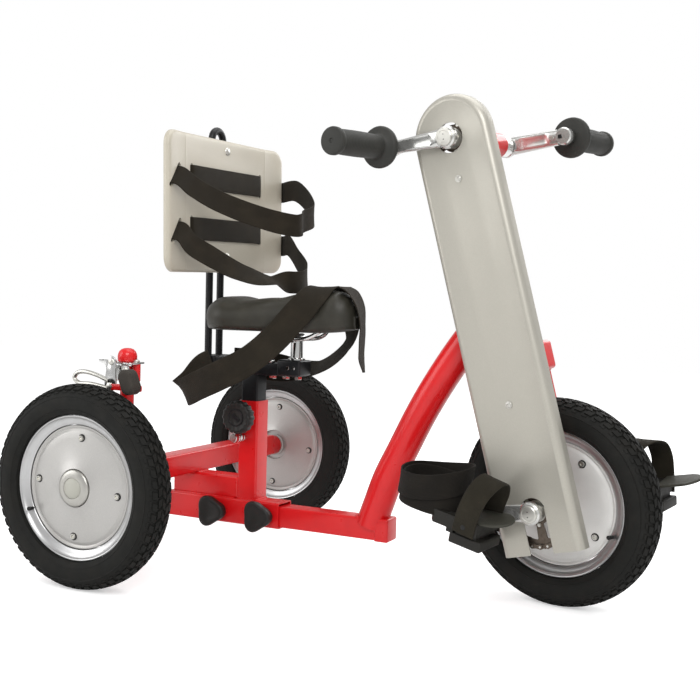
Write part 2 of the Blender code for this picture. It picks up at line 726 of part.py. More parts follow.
def build_fork():
    fork = piece("fork", box((-CROWN_DEPTH / 2, -CROWN_HALF, CROWN_LOW),
                             (CROWN_DEPTH / 2, CROWN_HALF, CROWN_HIGH), 0.007, "Y", 2),
                 STEER, "red_paint")
    shapes = [guide("steerer", rod((0, 0, CROWN_LOW + 0.01), (0, 0, HEAD_HIGH + 0.065),
                                   STEERER_RADIUS, 16), STEER)]
    bores = []
    for side in (-1, 1):
        y = side * LEG_OFFSET
        shapes.append(guide(f"fork_leg_{side}", rod((0, y, 0.006), (0, y, CROWN_LOW + 0.01),
                                                    LEG_RADIUS, 12), STEER))
        shapes.append(guide(f"leg_shell_{side}", rod((0, y - LEG_SHELL_HALF, 0),
                                                     (0, y + LEG_SHELL_HALF, 0), SHELL_RADIUS, 18), STEER))
        bores.append(guide(f"leg_bore_{side}", drill((0, y - 0.03, 0), (0, y + 0.03, 0),
                                                    SPINDLE_RADIUS + RUNNING_GAP, 14), STEER))
    join(fork, *shapes)
    carve(fork, *bores)
    low = HEAD_HIGH + CUP_HEIGHT + 2 * GAP
    column = piece("hand_column", rod((0, 0, low), (0, 0, HAND_HEIGHT), COLUMN_RADIUS, 20),
                   STEER, "red_paint")
    shell = guide("hand_shell", rod((0, -0.060, HAND_HEIGHT), (0, 0.085, HAND_HEIGHT),
                                    SHELL_RADIUS, 20), STEER)
    socket = guide("steerer_socket", drill((0, 0, low - 0.01), (0, 0, HEAD_HIGH + 0.065 + GAP),
                                          STEERER_RADIUS + GAP, 16), STEER)
    shell_bore = guide("hand_bore", drill((0, -0.08, HAND_HEIGHT), (0, 0.1, HAND_HEIGHT),
                                         SPINDLE_RADIUS + RUNNING_GAP, 14), STEER)
    join(column, shell)
    carve(column, socket, shell_bore)


def cover_outline(half, bottom):
    points = arc((0, HAND_HEIGHT), half, 0, 180, 16)
    return points + [(-half, bottom), (half, bottom)]


def build_cover():
    cover = piece("chain_cover", slab(cover_outline(COVER_HALF, COVER_BOTTOM - 0.03), COVER_FACE,
                                      COVER_FACE + COVER_DEPTH, COVER_EDGE, 2), STEER, "silver_paint")
    inside = slab(cover_outline(COVER_HALF - COVER_WALL, COVER_BOTTOM - 0.06), COVER_FACE + COVER_WALL,
                  COVER_FACE + COVER_DEPTH + 0.01, COVER_EDGE - COVER_WALL, 2)
    below = box((-0.1, COVER_FACE - 0.02, COVER_BOTTOM - 0.1), (0.1, COVER_FACE + 0.06, COVER_BOTTOM))
    slot = [(COVER_SLOT_HALF, COVER_BOTTOM - 0.02), (COVER_SLOT_HALF, 0)]
    slot += arc((0, 0), COVER_FOOT_HOLE, 25, 155, 8)
    slot += [(-COVER_SLOT_HALF, 0), (-COVER_SLOT_HALF, COVER_BOTTOM - 0.02)]
    through = COVER_FACE - 0.01, COVER_FACE + 0.02
    carve(cover, guide("cover_inside", inside, STEER), guide("cover_below", below, STEER),
          guide("cover_slot", slab(slot, *through), STEER),
          guide("cover_hand_hole", rod((0, through[0], HAND_HEIGHT), (0, through[1], HAND_HEIGHT),
                                       COVER_HAND_HOLE, 18), STEER))
    inner = -COLUMN_RADIUS - GAP
    for index, z in enumerate(COVER_SCREWS):
        start = inner if z > HEAD_HIGH else -(LEG_OFFSET + LEG_RADIUS + GAP)
        screw = piece(f"cover_screw_{index + 1}",
                      rod((0, start, z), (0, COVER_FACE + COVER_WALL + GAP, z), COVER_STAY_RADIUS, 10),
                      STEER, "steel")
        carve(cover, guide(f"cover_screw_hole_{index}", drill((0, COVER_FACE - 0.01, z),
                                                             (0, COVER_FACE + 0.01, z), 0.0028, 8), STEER))
        head = rod((0, COVER_FACE - GAP, z), (0, COVER_FACE - COVER_SCREW_RISE, z), COVER_SCREW_HEAD, 12,
                   COVER_SCREW_HEAD * 0.6)
        shank = rod((0, COVER_FACE - 0.001, z), (0, COVER_FACE + COVER_WALL + 0.001, z), 0.0024, 8)
        join(screw, guide(f"cover_screw_head_{index}", head, STEER),
             guide(f"cover_screw_shank_{index}", shank, STEER))


def sprocket_outline():
    """Teeth of a roller chain wheel: one tip, two flanks and a root for each tooth."""
    pitch_radius = CHAIN_PITCH / (2 * math.sin(math.pi / SPROCKET_TEETH))
    points = []
    for tooth in range(SPROCKET_TEETH):
        turn = 2 * math.pi * tooth / SPROCKET_TEETH
        for share, radius in ((-0.16, pitch_radius - 0.0036), (0.16, pitch_radius - 0.0036),
                              (0.40, pitch_radius + 0.0036), (0.60, pitch_radius + 0.0036)):
            angle = turn + share * 2 * math.pi / SPROCKET_TEETH
            points.append((radius * math.cos(angle), radius * math.sin(angle)))
    return points


def build_sprocket(name, parent):
    """Toothed chain wheel with its spindle, which reaches into both crank arms."""
    low = CHAIN_PLANE - SPROCKET_THICKNESS / 2
    high = CHAIN_PLANE + SPROCKET_THICKNESS / 2
    sprocket = piece(name, slab(sprocket_outline(), low, high), parent, "chain_steel")
    hub = guide(name + "_boss", rod((0, low - 0.003, 0), (0, high + 0.004, 0), 0.016, 14), parent)
    end = ARM_OUTER - 0.0040
    spindle = guide(name + "_spindle", rod((0, -end, 0), (0, end, 0), SPINDLE_RADIUS, 16), parent)
    join(sprocket, hub, spindle)
    windows = []
    for index in range(5):
        angle = math.radians(18 + 72 * index)
        x = 0.0310 * math.cos(angle)
        z = 0.0310 * math.sin(angle)
        windows.append(guide(f"{name}_window_{index}", rod((x, low - 0.01, z), (x, high + 0.01, z),
                                                           0.0105, 8), parent))
    carve(sprocket, *windows)


def chain_loop(side):
    """Outline round both sprockets: straight runs, and links that alternate round the teeth."""
    radius = CHAIN_PITCH / (2 * math.sin(math.pi / SPROCKET_TEETH))
    bends = SPROCKET_TEETH // 2
    points = []
    for height, start in ((HAND_HEIGHT, 0.0), (0.0, math.pi)):
        for link in range(bends + 1):
            angle = start + math.pi * link / bends
            reach = radius + side * link_offset(link)
            points.append((reach * math.cos(angle), height + reach * math.sin(angle)))
    return points


def link_offset(link):
    return CHAIN_PLATE_HALF if link % 2 == 0 else CHAIN_WAIST_HALF


def chain_row(name, low, high):
    ring = guide(name, slab(chain_loop(1), low, high), STEER)
    carve(ring, guide(name + "_inside", slab(chain_loop(-1), low - 0.002, high + 0.002), STEER))
    return ring


def build_chain():
    """Side plates of the roller chain in two rows, tied by rollers on the straight runs."""
    side = SPROCKET_THICKNESS / 2 + CHAIN_GAP
    outer_low = CHAIN_PLANE - side - CHAIN_PLATE
    outer_row = chain_row("chain_outer_row", outer_low, CHAIN_PLANE - side)
    inner_row = chain_row("chain_inner_row", CHAIN_PLANE + side, CHAIN_PLANE + side + CHAIN_PLATE)
    radius = CHAIN_PITCH / (2 * math.sin(math.pi / SPROCKET_TEETH))
    count = int(HAND_HEIGHT / CHAIN_PITCH)
    rollers = []
    for x in (-radius, radius):
        for index in range(2, count - 1, ROLLER_EVERY):
            z = (index + 0.5) * CHAIN_PITCH
            rollers.append(rod((x, CHAIN_PLANE - side - CHAIN_PLATE / 2, z),
                               (x, CHAIN_PLANE + side + CHAIN_PLATE / 2, z), CHAIN_ROLLER, 6))
    whole = bmesh.new()
    for roller in rollers:
        mesh = bpy.data.meshes.new("roller")
        roller.to_mesh(mesh)
        roller.free()
        whole.from_mesh(mesh)
    chain = piece("chain", whole, STEER, "chain_steel")
    join(chain, outer_row, inner_row)


def arm_outline(length):
    """Dog-bone outline from the root boss at the origin to the end boss along +X."""
    root = ARM_ROOT_RADIUS
    end = ARM_END_RADIUS
    waist = ARM_WAIST_HALF
    points = arc((0, 0), root, 50, 310, 10)
    points += [(root * 1.35, -waist), (length - end * 1.45, -waist)]
    points += arc((length, 0), end, -130, 130, 8)
    points += [(length - end * 1.45, waist), (root * 1.35, waist)]
    return points


def crank(name, parent, side, length, angle, finish, pin_end, pin_radius):
    """One crank arm: its blind socket takes the spindle and a pin stands at its outer end."""
    near = side * ARM_INNER
    far = side * ARM_OUTER
    turn = (0, -angle, 0)
    low, high = min(near, far), max(near, far)
    arm = piece(name, slab(arm_outline(length), low, high), parent, finish, turn)
    cap = rod((0, far - side * 0.001, 0), (0, far + side * ARM_CAP_HEIGHT, 0), ARM_CAP_RADIUS, 16)
    pin = rod((length, far - side * 0.004, 0), (length, side * pin_end, 0), pin_radius, 10)
    join(arm, guide(name + "_cap", cap, parent, turn), guide(name + "_pin", pin, parent, turn))
    socket = drill((0, near - side * 0.01, 0), (0, far - side * 0.0035, 0), SPINDLE_RADIUS + GAP, 14)
    carve(arm, guide(name + "_socket", socket, parent, turn))


def build_drive():
    centre = datum("front_wheel_centre", STEER)
    wheel("front_wheel", centre, FRONT_HUB_HALF, SPINDLE_RADIUS + RUNNING_GAP, FRONT_BOLT_START, HEAD_LEAN)
    build_sprocket("foot_sprocket", centre)
    hands = datum("hand_spindle_centre", STEER, (0, 0, HAND_HEIGHT))
    build_sprocket("hand_sprocket", hands)
    pedal_end = PEDAL_INNER + PEDAL_WIDTH - 0.004
    for name, side, phase, pitch in (("right", -1, CRANK_PHASE, NEAR_PEDAL_PITCH),
                                     ("left", 1, CRANK_PHASE - math.pi, FAR_PEDAL_PITCH)):
        angle = phase - HEAD_LEAN
        crank(name + "_foot_crank", centre, side, FOOT_ARM, angle, "chrome", pedal_end, PEDAL_PIN_RADIUS)
        crank(name + "_hand_crank", hands, side, HAND_ARM, angle, "chrome", GRIP_PIN_END, GRIP_PIN_RADIUS)
        foot = (FOOT_ARM * math.cos(angle), 0, FOOT_ARM * math.sin(angle))
        build_pedal(name, side, datum(name + "_pedal_axle", centre, foot, (0, HEAD_LEAN - pitch, 0)))
        hand = (HAND_ARM * math.cos(angle), 0, HAND_ARM * math.sin(angle))
        build_grip(name, side, datum(name + "_grip_axle", hands, hand))


def build_grip(name, side, parent):
    hole = GRIP_PIN_RADIUS + RUNNING_GAP
    bottom = GRIP_PIN_END + RUNNING_GAP
    profile = [(0.0, GRIP_END), (GRIP_DISC_RADIUS - 0.002, GRIP_END), (GRIP_DISC_RADIUS, GRIP_END - 0.002),
               (GRIP_DISC_RADIUS, GRIP_DISC_START), (GRIP_RADIUS, GRIP_DISC_START - 0.001),
               (GRIP_RADIUS + 0.0008, (GRIP_FLANGE_END + GRIP_DISC_START) / 2),
               (GRIP_RADIUS, GRIP_FLANGE_END + 0.001), (GRIP_FLANGE_RADIUS - 0.002, GRIP_FLANGE_END),
               (GRIP_FLANGE_RADIUS, (GRIP_FLANGE_END + GRIP_FLANGE_START) / 2),
               (GRIP_FLANGE_RADIUS - 0.002, GRIP_FLANGE_START), (GRIP_COLLAR_RADIUS, GRIP_FLANGE_START),
               (GRIP_COLLAR_RADIUS, GRIP_START), (hole, GRIP_START), (hole, bottom), (0.0, bottom)]
    grip = piece(name + "_grip", turned_mesh(name + "_grip", profile), parent, "grip_rubber",
                 (-side * math.pi / 2, 0, 0))
    add_screw(grip, 14)


def build_pedal(name, side, parent):
    inner = side * PEDAL_INNER
    outer = side * (PEDAL_INNER + PEDAL_WIDTH)
    low, high = min(inner, outer), max(inner, outer)
    middle = (low + high) / 2
    bottom = PEDAL_TOP - PEDAL_THICKNESS
    block = piece(name + "_pedal", box((-PEDAL_LENGTH / 2, low, bottom), (PEDAL_LENGTH / 2, high, PEDAL_TOP),
                                       0.003), parent, "black_plastic")
    tube = guide(name + "_pedal_tube", rod((0, low, 0), (0, high, 0), PEDAL_TUBE_RADIUS, 14), parent)
    web = guide(name + "_pedal_web", box((-PEDAL_WEB_HALF, low + 0.001, PEDAL_TOP - 0.002),
                                         (PEDAL_WEB_HALF, high - 0.001, 0)), parent)
    join(block, web, tube)
    carve(block, guide(name + "_pedal_bore", drill((0, low - 0.01, 0), (0, high + 0.01, 0),
                                                  PEDAL_PIN_RADIUS + RUNNING_GAP, 10), parent))
    sole_outline = [(SOLE_HEEL, -SOLE_HALF + 0.012)]
    sole_outline += [(SOLE_HEEL + 0.012, -SOLE_HALF), (SOLE_SHOULDER, -SOLE_HALF)]
    sole_outline += [(x, y) for x, y in arc((SOLE_TOE - TOE_HALF, 0), TOE_HALF, -75, 75, 8)]
    sole_outline += [(SOLE_SHOULDER, SOLE_HALF), (SOLE_HEEL + 0.012, SOLE_HALF)]
    sole_outline += [(SOLE_HEEL, SOLE_HALF - 0.012)]
    bm = slab(sole_outline, SOLE_BOTTOM, SOLE_TOP)
    bmesh.ops.rotate(bm, verts=bm.verts, cent=(0, 0, 0), matrix=Matrix.Rotation(math.pi / 2, 3, "X"))
    bmesh.ops.translate(bm, verts=bm.verts, vec=(0, middle, 0))
    sole = piece(name + "_foot_plate", bm, parent, "black_plastic")
    thin = SOLE_TOP - 0.006
    toe_cut = guide(name + "_toe_cut", box((SOLE_SHOULDER + 0.004, middle - 0.05, SOLE_BOTTOM - 0.01),
                                           (SOLE_TOE + 0.01, middle + 0.05, thin)), parent)
    channel = guide(name + "_channel", drill((0, low - 0.01, 0), (0, high + 0.01, 0),
                                            PEDAL_TUBE_RADIUS + GAP, 14), parent)
    wide = PEDAL_WEB_HALF + GAP
    groove = guide(name + "_groove", box((-wide, low - 0.01, SOLE_BOTTOM - 0.01), (wide, high + 0.01, 0)), parent)
    carve(sole, toe_cut, channel, groove)
    band_low = SOLE_TOP + 0.0006
    reach = HEEL_BAND_FRONT - HEEL_BAND_REAR
    rows = []
    steps = 24
    for step in range(steps):
        angle = 2 * math.pi * step / steps
        squareness = 0.72
        x = HEEL_BAND_REAR + reach / 2 + reach / 2 * math.copysign(abs(math.cos(angle)) ** squareness,
                                                                   math.cos(angle))
        y = middle + HEEL_BAND_HALF * math.copysign(abs(math.sin(angle)) ** squareness, math.sin(angle))
        lift = 0.004 * (1 - math.cos(angle)) / 2
        rows.append(((x, y, band_low + HEEL_BAND_HEIGHT + lift), (x, y, band_low + 2.2 * lift)))
    ribbon(name + "_heel_band", rows, parent, "webbing", STRAP_THICKNESS, closed=True)
    build_toe_strap(name, parent, middle)


def build_toe_strap(name, parent, middle):
    """A band that rises from one side of the foot plate and comes down on the other."""
    half = TOE_STRAP_HALF + STRAP_THICKNESS
    low = SOLE_BOTTOM + 0.004
    knots = [(0, -half, low), (0, -half, 0.020), (0, -half * 0.96, 0.044), (0, -half * 0.70, 0.064),
             (0, -half * 0.25, TOE_STRAP_TOP), (0, half * 0.25, TOE_STRAP_TOP), (0, half * 0.70, 0.064),
             (0, half * 0.96, 0.044), (0, half, 0.020), (0, half, low)]
    rows = []
    for point in smooth_route(knots, 2):
        lean = 0.10 * (point.z - low)
        x = TOE_STRAP_X - lean
        narrow = 0.10 * (point.z - low)
        wide = TOE_STRAP_WIDTH / 2 - narrow
        rows.append(((x - wide, middle + point.y, point.z), (x + wide, middle + point.y, point.z)))
    ribbon(name + "_toe_strap", rows, parent, "webbing", STRAP_THICKNESS)


def build_seat():
    half = MAST / 2
    mast = piece("seat_mast", box((SEAT_TUBE_X - half, -half, MAST_BOTTOM),
                                  (SEAT_TUBE_X + half, half, SEAT_BAR_TOP - 0.012), 0.0025, "Z"),
                 MACHINE, "black_paint")
    wide = TUBE / 2
    bar_bottom = SEAT_BAR_TOP - SEAT_BAR_HEIGHT
    bar = guide("seat_bar", box((SEAT_BAR_REAR, -wide, bar_bottom),
                                (SEAT_BAR_FRONT, wide, SEAT_BAR_TOP - SEAT_BAR_STEP), TUBE_CORNER, "X"),
                MACHINE)
    collar = guide("seat_bar_collar", box((SEAT_BAR_FRONT - SEAT_COLLAR_LENGTH, -wide - 0.002, bar_bottom + 0.001),
                                          (SEAT_BAR_FRONT + 0.003, wide + 0.002, SEAT_BAR_TOP),
                                          0.003, "X"), MACHINE)
    block = guide("hoop_block", box((HOOP_BLOCK_REAR, -0.031, HOOP_BLOCK_BOTTOM),
                                    (SEAT_BAR_REAR + 0.01, 0.031, HOOP_BLOCK_TOP), 0.004), MACHINE)
    join(mast, bar, collar, block)
    bores = []
    for side in (-1, 1):
        y = side * HOOP_HALF
        bores.append(guide(f"hoop_hole_{side}", drill((HOOP_X, y, HOOP_BLOCK_BOTTOM - 0.01),
                                                     (HOOP_X, y, HOOP_BLOCK_TOP + 0.01),
                                                     HOOP_RADIUS + RUNNING_GAP, 10), MACHINE))
    carve(mast, *bores)
    seat_bolts = []
    for index, x in enumerate(SEAT_BOLTS):
        ends = (x, 0, bar_bottom - SEAT_BOLT_HEIGHT), (x, 0, bar_bottom + WELD)
        seat_bolts.append(guide(f"seat_bolt_{index}", rod(*ends, SEAT_BOLT_RADIUS, 6), MACHINE))
    for index, x in enumerate(SEAT_TOP_BOLTS):
        base = SEAT_BAR_TOP - SEAT_BAR_STEP
        ends = (x, 0, base - WELD), (x, 0, base + SEAT_BOLT_HEIGHT)
        seat_bolts.append(guide(f"seat_top_bolt_{index}", rod(*ends, SEAT_BOLT_RADIUS, 6), MACHINE))
    join(mast, *seat_bolts)
    build_saddle()


def saddle_half(x):
    """Half width of the saddle from its wide rear to its nose."""
    share = (x - SADDLE_REAR) / (SADDLE_FRONT - SADDLE_REAR)
    ease = share * share * (3 - 2 * share)
    end = math.sqrt(max(0.0, 1 - max(0.0, (share - 0.86) / 0.14) ** 2))
    back = math.sqrt(max(0.0, 1 - max(0.0, (0.20 - share) / 0.20) ** 2 * 0.55))
    width = SADDLE_REAR_HALF + (SADDLE_NOSE_HALF - SADDLE_REAR_HALF) * min(1.0, ease * 1.15)
    return max(0.012, width * end * back)


def saddle_top(x):
    """Height of the saddle's ridge: raised rear, dip, and a hump before the nose."""
    knots = [(SADDLE_REAR + share * SADDLE_LENGTH, SADDLE_BOTTOM + rise * SADDLE_LENGTH) for share, rise in
             ((0.000, 0.198), (0.060, 0.222), (0.130, 0.226), (0.240, 0.208), (0.440, 0.222),
              (0.600, 0.250), (0.770, 0.284), (0.875, 0.268), (0.943, 0.236), (0.977, 0.186), (1.000, 0.110))]
    for (x0, z0), (x1, z1) in zip(knots, knots[1:]):
        if x <= x1 + 1e-9:
            share = (x - x0) / (x1 - x0)
            return z0 + (z1 - z0) * share * share * (3 - 2 * share)
    return knots[-1][1]


def build_saddle():
    rear_post = SEAT_BAR_TOP + GAP
    post = piece("saddle_post", rod((POST_X, 0, rear_post), (POST_X, 0, POST_TOP), POST_RADIUS, 16),
                 MACHINE, "chrome")
    clamp_half = RAIL_WIRE_HALF - RAIL_WIRE_RADIUS - 0.0006
    join(post, guide("post_foot", rod((POST_X, 0, rear_post), (POST_X, 0, rear_post + 0.003), 0.0145, 16), MACHINE),
         guide("rail_clamp", rod((POST_X, -clamp_half, POST_TOP), (POST_X, clamp_half, POST_TOP), 0.0080, 14),
               MACHINE))
    z = POST_TOP
    y = RAIL_WIRE_HALF
    top = SADDLE_BOTTOM - RAIL_WIRE_RADIUS - 0.0006
    knots = [(0.105, y * 1.7, top), (0.135, y * 1.1, z + 0.003), (0.160, y, z), (0.245, y, z),
             (0.272, y * 0.8, z + 0.005), (0.288, y * 0.4, top), (0.292, 0, top)]
    knots += [(px, -py, pz) for px, py, pz in reversed(knots[:-1])]
    piece("saddle_rails", wire("saddle_rails", smooth_route(knots, 2), RAIL_WIRE_RADIUS, 1), MACHINE, "chrome")
    bm = bmesh.new()
    stations = 12
    around = 16
    loops = []
    for index in range(stations + 1):
        share = index / stations
        share = 0.5 - 0.5 * math.cos(math.pi * share)
        x = SADDLE_REAR + (SADDLE_FRONT - SADDLE_REAR) * share
        half = saddle_half(x)
        top = saddle_top(x)
        low = SADDLE_BOTTOM + SADDLE_NOSE_LIFT * max(0.0, (share - 0.7) / 0.3) ** 2
        loop = []
        for step in range(around):
            angle = 2 * math.pi * step / around
            side = math.cos(angle)
            rise = math.sin(angle)
            if rise >= 0:
                height = low + 0.020 + (top - low - 0.020) * rise ** 0.8
                width = half * math.copysign(abs(side) ** 0.75, side)
            else:
                height = low + 0.020 + 0.020 * math.copysign(abs(rise) ** 0.6, rise)
                width = half * 0.94 * math.copysign(abs(side) ** 0.6, side)
            loop.append(bm.verts.new((x, width, height)))
        loops.append(loop)
    for one, two in zip(loops, loops[1:]):
        edges = []
        for loop in (one, two):
            for a, b in zip(loop, loop[1:] + loop[:1]):
                edge = bm.edges.get((a, b))
                edges.append(edge if edge else bm.edges.new((a, b)))
        bmesh.ops.bridge_loops(bm, edges=edges)
    bm.faces.new(loops[0])
    bm.faces.new(loops[-1])
    piece("saddle", bm, MACHINE, "saddle_skin")


PANEL_MIDDLE = (PANEL_BOTTOM + PANEL_TOP) / 2
ROLLED = datum("rolled_panel", MACHINE, (0, PANEL_MIDDLE * math.sin(PANEL_ROLL),
                                         PANEL_MIDDLE * (1 - math.cos(PANEL_ROLL))), (PANEL_ROLL, 0, 0))


def bend_wings(bm):
    for vert in bm.verts:
        beyond = abs(vert.co.y) - PANEL_CREASE
        if beyond > 0:
            vert.co.x += beyond * math.tan(PANEL_WING)


def panel_shape(inset, front, back):
    """Rounded panel between two depths, its wings bent forward at the creases."""
    half = PANEL_HALF - inset
    low = PANEL_BOTTOM + inset
    high = PANEL_TOP - inset
    corner = PANEL_CORNER - inset
    outline = []
    for cy, cz, start in ((half - corner, high - corner, 0), (-half + corner, high - corner, 90),
                          (-half + corner, low + corner, 180), (half - corner, low + corner, 270)):
        outline += arc((cy, cz), corner, start, start + 90, 4)
    bm = slab(outline, 0, front - back, 0.0025 if inset == 0 else 0.0, 1)
    turn = Matrix.Rotation(math.pi / 2, 3, "Z")
    bmesh.ops.rotate(bm, verts=bm.verts, cent=(0, 0, 0), matrix=turn)
    bmesh.ops.translate(bm, verts=bm.verts, vec=(front, 0, 0))
    for crease in (-PANEL_CREASE, PANEL_CREASE):
        geometry = list(bm.verts) + list(bm.edges) + list(bm.faces)
        bmesh.ops.bisect_plane(bm, geom=geometry, plane_co=(0, crease, 0), plane_no=(0, 1, 0))
    bend_wings(bm)
    return bm


def slot_cutter(name, one, two):
    """A slot through the panel between two points in Y and Z."""
    (y0, z0), (y1, z1) = one, two
    length = math.hypot(y1 - y0, z1 - z0)
    bm = box((-0.03, -SLOT_WIDTH / 2, -length / 2), (0.04, SLOT_WIDTH / 2, length / 2))
    angle = math.atan2(-(y1 - y0), z1 - z0)
    bmesh.ops.rotate(bm, verts=bm.verts, cent=(0, 0, 0), matrix=Matrix.Rotation(angle, 3, "X"))
    bmesh.ops.translate(bm, verts=bm.verts, vec=(PANEL_FACE, (y0 + y1) / 2, (z0 + z1) / 2))
    return guide(name, bm, ROLLED)


def build_backrest():
    legs = [(HOOP_X, -HOOP_HALF, HOOP_BOTTOM), (HOOP_X, -HOOP_HALF, HOOP_APEX - 2 * HOOP_HALF)]
    bend = [(HOOP_X, -y, HOOP_APEX - HOOP_HALF - HOOP_RADIUS + z)
            for y, z in arc((0, 0), HOOP_HALF, 0, 180, 8)]
    route = legs[:1] + bend + [(HOOP_X, HOOP_HALF, HOOP_BOTTOM)]
    rail = as_mesh(wire("hoop_rod", route, HOOP_RADIUS, 2), MACHINE, "hoop_rod")
    z = PANEL_BOLTS[0]
    back = HOOP_X - HOOP_RADIUS - 0.004
    hoop = piece("back_hoop", rod((back, 0, z), (HOOP_X, 0, z), PLATE_RADIUS, 12), ROLLED, "black_paint")
    join(hoop, rail)
    panel = piece("back_panel", panel_shape(0.0, PANEL_FACE, PANEL_FACE - PANEL_RIM), ROLLED, "panel_plastic")
    pocket = guide("panel_pocket", panel_shape(PANEL_WALL, PANEL_FACE - PANEL_WALL,
                                               PANEL_FACE - PANEL_RIM - 0.02), ROLLED)
    carve(panel, pocket)
    reach = STRAP_WIDTH / 2 + 0.0025
    for index, z in enumerate((UPPER_SLOT_Z, LOWER_SLOT_Z)):
        for side in (-1, 1):
            carve(panel, slot_cutter(f"centre_slot_{index}_{side}", (side * CENTRE_SLOT, z - reach),
                                     (side * CENTRE_SLOT, z + reach)))
    for index, ends in enumerate((UPPER_WING_SLOT, LOWER_WING_SLOT)):
        carve(panel, slot_cutter(f"wing_slot_{index}", *ends))
    for index, z in enumerate(PANEL_BOLTS):
        opening = drill((PANEL_FACE - 0.02, 0, z), (PANEL_FACE + 0.02, 0, z), 0.0033, 8)
        carve(panel, guide(f"panel_bolt_hole_{index}", opening, ROLLED))
        head = rod((PANEL_FACE + GAP, 0, z), (PANEL_FACE + 0.0042, 0, z), 0.0075, 10, 0.0045)
        shank = rod((back - 0.001, 0, z), (PANEL_FACE + 0.001, 0, z), 0.0030, 6)
        washer = rod((back, 0, z), (HOOP_X, 0, z), PLATE_RADIUS, 12)
        shapes = [guide(f"panel_bolt_head_{index}", head, ROLLED),
                  guide(f"panel_bolt_shank_{index}", shank, ROLLED)]
        if index > 0:
            shapes.append(guide(f"panel_bolt_washer_{index}", washer, ROLLED))
        join(hoop, *shapes)


def chest_belt(name, slot_z, wing_slot, front_near, front_far, fold, laid=0.0):
    """One closed ring of webbing through the panel's slots and loosely across the front."""
    face = PANEL_FACE + 0.0022
    behind = PANEL_FACE - PANEL_WALL - 0.0024
    near_y = (wing_slot[0][0] + wing_slot[1][0]) / 2
    near_z = (wing_slot[0][1] + wing_slot[1][1]) / 2
    slant = Vector((0, wing_slot[0][0] - wing_slot[1][0], wing_slot[0][1] - wing_slot[1][1])).normalized()
    up = Vector((0, 0, 1))
    wing = (abs(near_y) - PANEL_CREASE) * math.tan(PANEL_WING)
    edge = PANEL_HALF
    bend = (edge - PANEL_CREASE) * math.tan(PANEL_WING)
    rim_back = PANEL_FACE - PANEL_RIM
    stations = [((face, CENTRE_SLOT - 0.007, slot_z), up), ((face, 0.0, slot_z), up),
                ((face, -CENTRE_SLOT + 0.007, slot_z), up),
                ((face - 0.0015, -CENTRE_SLOT, slot_z), up), ((behind + 0.0015, -CENTRE_SLOT, slot_z), up),
                ((behind, -CENTRE_SLOT - 0.007, slot_z), up),
                ((behind + 0.0004, -PANEL_CREASE - 0.004, (slot_z * 2 + near_z) / 3), (up + slant * 0.4)),
                ((behind + wing - 0.0020, near_y + 0.007, near_z), slant),
                ((behind + wing + 0.0012, near_y, near_z), slant),
                ((face + wing - 0.0010, near_y, near_z), slant),
                ((face + wing + 0.006, near_y + 0.004, near_z - 0.003), slant)]
    steps = len(front_near)
    for index, point in enumerate(front_near):
        lean = (up * (index + 1) + slant * (steps - index)).normalized()
        lain = laid * max(0.0, (index - 1) / (steps - 2))
        stations.append((point, lean * (1 - lain) + Vector((-0.57, 0.82, 0)) * lain))
    stations += [(point, up) for point in fold]
    stations += [(point, up) for point in front_far]
    far_z = front_far[-1][2]
    stations += [((face + bend + 0.0012, edge - 0.002, far_z), up),
                 ((face + bend - 0.003, edge + 0.0028, far_z), up),
                 ((rim_back + bend, edge + 0.0028, far_z), up),
                 ((rim_back + bend - 0.0030, edge + 0.0002, far_z), up),
                 ((rim_back + 0.0010, PANEL_CREASE + 0.006, (far_z + slot_z) / 2), up),
                 ((behind, CENTRE_SLOT + 0.007, slot_z), up),
                 ((behind + 0.0015, CENTRE_SLOT, slot_z), up), ((face - 0.0015, CENTRE_SLOT, slot_z), up)]
    rows = []
    count = len(stations)
    for index, (point, lean) in enumerate(stations):
        before = Vector(stations[index - 1][0])
        after = Vector(stations[(index + 1) % count][0])
        run = (after - before).normalized()
        across = Vector(lean)
        if across != slant:
            across = across - across.dot(run) * run
        across = across.normalized() * STRAP_WIDTH / 2
        rows.append((Vector(point) + across, Vector(point) - across))
    ribbon(name, rows, ROLLED, "webbing", 0.0018, closed=True)


def loose_webbing(slot_z, points):
    """Points in front of the panel, given as shares of its half width."""
    return [(PANEL_FACE + x * PANEL_HALF, y * PANEL_HALF, slot_z + z * PANEL_HALF) for x, y, z in points]


def build_chest_belts():
    near = loose_webbing(UPPER_SLOT_Z, [(0.110, -0.758, -0.099), (0.209, -0.593, -0.198),
                                        (0.330, -0.412, -0.280),
                                       (0.478, -0.231, -0.352), (0.626, -0.066, -0.407)])
    far = loose_webbing(UPPER_SLOT_Z, [(0.742, 0.187, -0.385), (0.735, 0.407, -0.320),
                                       (0.570, 0.615, -0.185), (0.275, 0.857, -0.030)])
    fold = loose_webbing(UPPER_SLOT_Z, [(0.760, 0.033, -0.432), (0.775, 0.093, -0.420)])
    chest_belt("upper_chest_belt", UPPER_SLOT_Z, UPPER_WING_SLOT, near, far, fold)
    near = loose_webbing(LOWER_SLOT_Z, [(0.110, -0.769, -0.148), (0.220, -0.615, -0.258),
                                        (0.352, -0.440, -0.370),
                                       (0.473, -0.275, -0.440), (0.593, -0.110, -0.475)])
    far = loose_webbing(LOWER_SLOT_Z, [(0.755, 0.187, -0.480), (0.680, 0.385, -0.415),
                                       (0.450, 0.615, -0.275), (0.190, 0.868, -0.115)])
    fold = loose_webbing(LOWER_SLOT_Z, [(0.703, 0.022, -0.490), (0.740, 0.088, -0.490)])
    chest_belt("lower_chest_belt", LOWER_SLOT_Z, LOWER_WING_SLOT, near, far, fold, 0.75)


def open_belt(name, knots, leans, per_span=3):
    points = smooth_route(knots, per_span)
    slants = smooth_route(leans, per_span)
    rows = strap_rows(points, LAP_BELT_WIDTH, [tuple(slant) for slant in slants])
    ribbon(name, rows, MACHINE, "webbing", 0.0020)


